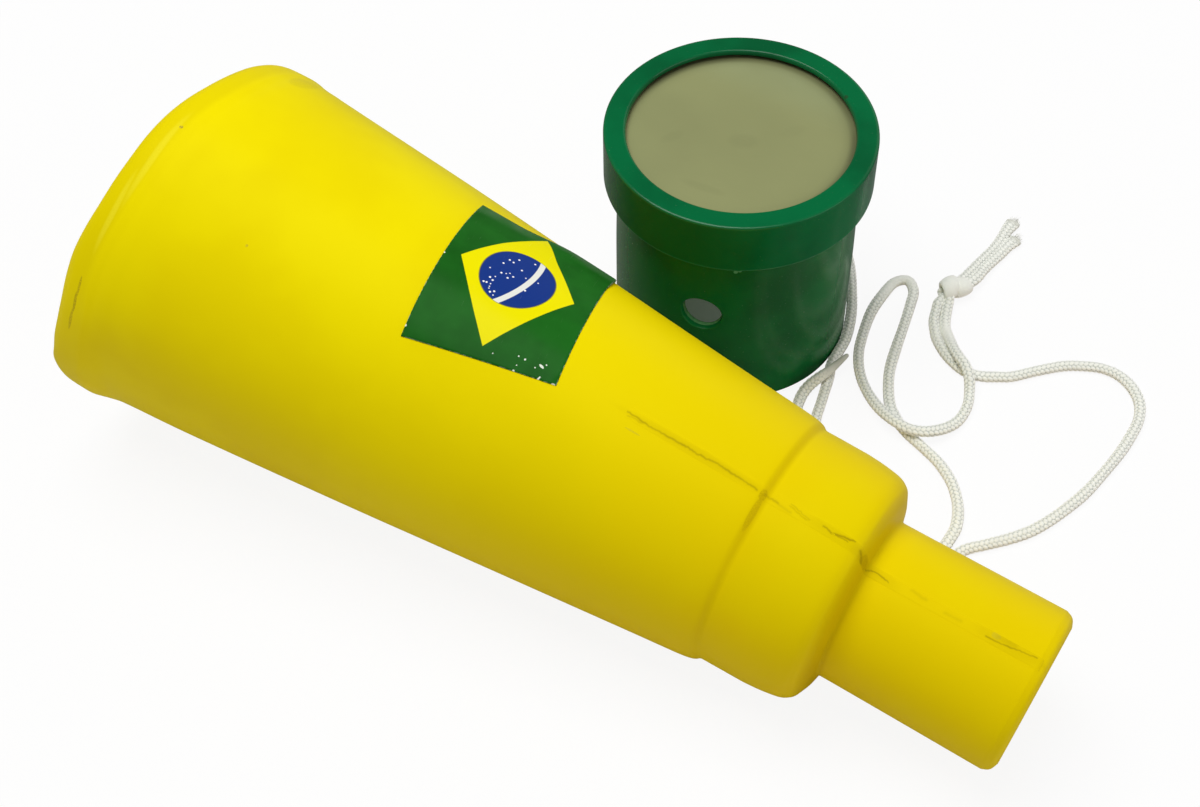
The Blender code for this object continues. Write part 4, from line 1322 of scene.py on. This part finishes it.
def build_stage(stage):
    """Camera, floor, world and soft lamps."""
    build_camera(stage)
    build_floor(stage)
    build_world(stage)
    build_lamp("overhead", (-0.25, -0.05, 1.30), (0, 0.0, 0.03), 0.9, stage.overhead)
    build_lamp("back", (0.1, 1.15, 0.70), (0, 0.0, 0.03), 0.8, stage.back)
    build_lamp("side", (0.95, 0.15, 0.40), (0, 0.05, 0.04), 0.7, stage.side)
    bpy.context.scene.view_settings.view_transform = 'Standard'


# Settings

def length(name, text, value, low=0.0):
    """A setting in metres, from its default in millimetres."""
    return FloatProperty(name=name, description=text, default=value * MM, min=low, unit='LENGTH',
                         subtype='DISTANCE', precision=5)


def paint(name, text, value):
    """A colour setting."""
    return FloatVectorProperty(name=name, description=text, default=value, size=3, min=0, max=1,
                               subtype='COLOR')


class HornSettings(bpy.types.PropertyGroup):
    wall: length("Wall", "Thickness of the moulded wall", 1.5, 0.0005)
    columns: IntProperty(name="Columns", description="Columns of faces round the tube",
                         default=240, min=48, max=260)
    colour: paint("Plastic", "Colour of the tube's wide end", (0.91, 0.77, 0.001))
    # Its own more orange tone, made a little darker as painted shade
    neck_colour_and_shade: paint("Neck", "Colour of the tube's narrow end", (0.845, 0.645, 0.001))


class StickerSettings(bpy.types.PropertyGroup):
    field: paint("Field", "Colour of the label's field", (0.014, 0.140, 0.013))
    lozenge: paint("Rhombus", "Colour of the rhombus", (0.89, 0.81, 0.001))
    disc: paint("Disc", "Colour of the disc", (0.012, 0.042, 0.245))
    bare: paint("Bare vinyl", "Colour of the unprinted vinyl", (0.82, 0.83, 0.78))


class HeadSettings(bpy.types.PropertyGroup):
    body_colour: paint("Sleeve", "Colour of the head's sleeve", (0.004, 0.140, 0.031))
    cap_colour: paint("Cap ring", "Colour of the cap ring", (0.0005, 0.139, 0.042))
    film_colour: paint("Film", "Colour of the membrane", (0.366, 0.390, 0.176))


class LanyardSettings(bpy.types.PropertyGroup):
    diameter: length("Cord", "Diameter of the braided cord", 3.2, 0.001)
    colour: paint("Yarn", "Colour of the stitches", (0.96, 0.975, 0.91))
    # Painted shade deep between the stitches
    gap_shade_colour: paint("Gaps", "Colour deep between the stitches", (0.58, 0.61, 0.56))


class StageSettings(bpy.types.PropertyGroup):
    focal_length: FloatProperty(name="Focal length", description="Focal length of the camera",
                                default=58.70, min=10, unit='CAMERA')
    overhead: FloatProperty(name="Overhead lamp", description="Power of the overhead lamp",
                            default=13.1, min=0, unit='POWER')
    back: FloatProperty(name="Back lamp", description="Power of the lamp behind", default=1.3,
                        min=0, unit='POWER')
    side: FloatProperty(name="Side lamp", description="Power of the lamp at the right", default=2.0,
                        min=0, unit='POWER')
    fill: FloatProperty(name="Fill", description="Strength of the world as a light", default=0.23,
                        min=0, max=1)
    mirrored: FloatProperty(name="Mirrored", description="Strength of the world in reflections",
                            default=0.25, min=0, max=1)
    floor_colour: paint("Floor", "Colour of the floor", (0.95, 0.95, 0.95))


# Operators and panel

class HORN_OT_tube(bpy.types.Operator):
    """Make the blow-moulded horn tube and its seams"""
    bl_idname = "stadium_horn.tube"
    bl_label = "Horn tube"

    def execute(self, context):
        build_horn_tube(context.scene.horn_tube)
        return {'FINISHED'}


class HORN_OT_sticker(bpy.types.Operator):
    """Make the printed label on the cone"""
    bl_idname = "stadium_horn.sticker"
    bl_label = "Label"

    def execute(self, context):
        build_sticker(context.scene.horn_sticker)
        return {'FINISHED'}


class HORN_OT_head(bpy.types.Operator):
    """Make the sounding head: sleeve, cap ring and membrane"""
    bl_idname = "stadium_horn.head"
    bl_label = "Sounding head"

    def execute(self, context):
        head = context.scene.horn_head
        build_head_body(head)
        build_cap_ring(head)
        build_membrane(head)
        return {'FINISHED'}


class HORN_OT_lanyard(bpy.types.Operator):
    """Make the braided lanyard, its knots and its cut ends"""
    bl_idname = "stadium_horn.lanyard"
    bl_label = "Lanyard"

    def execute(self, context):
        build_lanyard(context.scene.horn_lanyard)
        return {'FINISHED'}


class HORN_OT_stage(bpy.types.Operator):
    """Make the camera, the floor, the world and the lamps"""
    bl_idname = "stadium_horn.stage"
    bl_label = "Stage"

    def execute(self, context):
        build_stage(context.scene.horn_stage)
        return {'FINISHED'}


class HORN_PT_panel(bpy.types.Panel):
    """Lists the horn's pieces and their settings"""
    bl_idname = "HORN_PT_panel"
    bl_label = "Stadium horn"
    bl_space_type = 'VIEW_3D'
    bl_region_type = 'UI'
    bl_category = "Stadium horn"

    def draw(self, context):
        for operator, (label, _) in zip(OPERATORS, SETTINGS.items()):
            box = self.layout.box()
            box.operator(operator.bl_idname)
            group = getattr(context.scene, label)
            for key in group.__annotations__:
                box.prop(group, key)


OPERATORS = (HORN_OT_stage, HORN_OT_lanyard, HORN_OT_tube, HORN_OT_sticker, HORN_OT_head)
SETTINGS = {"horn_stage": StageSettings, "horn_lanyard": LanyardSettings,
            "horn_tube": HornSettings, "horn_sticker": StickerSettings, "horn_head": HeadSettings}


def register():
    """Add the settings, the operators and the panel to Blender."""
    for label, group in SETTINGS.items():
        bpy.utils.register_class(group)
        setattr(bpy.types.Scene, label, PointerProperty(type=group))
    for kind in (*OPERATORS, HORN_PT_panel):
        bpy.utils.register_class(kind)


def unregister():
    """Take them out again."""
    for kind in (HORN_PT_panel, *reversed(OPERATORS)):
        bpy.utils.unregister_class(kind)
    for label, group in reversed(SETTINGS.items()):
        delattr(bpy.types.Scene, label)
        bpy.utils.unregister_class(group)


def main():
    """Make every piece."""
    register()
    for operator in OPERATORS:
        group, name = operator.bl_idname.split(".")
        if getattr(getattr(bpy.ops, group), name)() != {'FINISHED'}:
            raise RuntimeError(operator.bl_label + " wasn't made")
    bpy.context.view_layer.update()


if __name__ == "__main__":
    main()
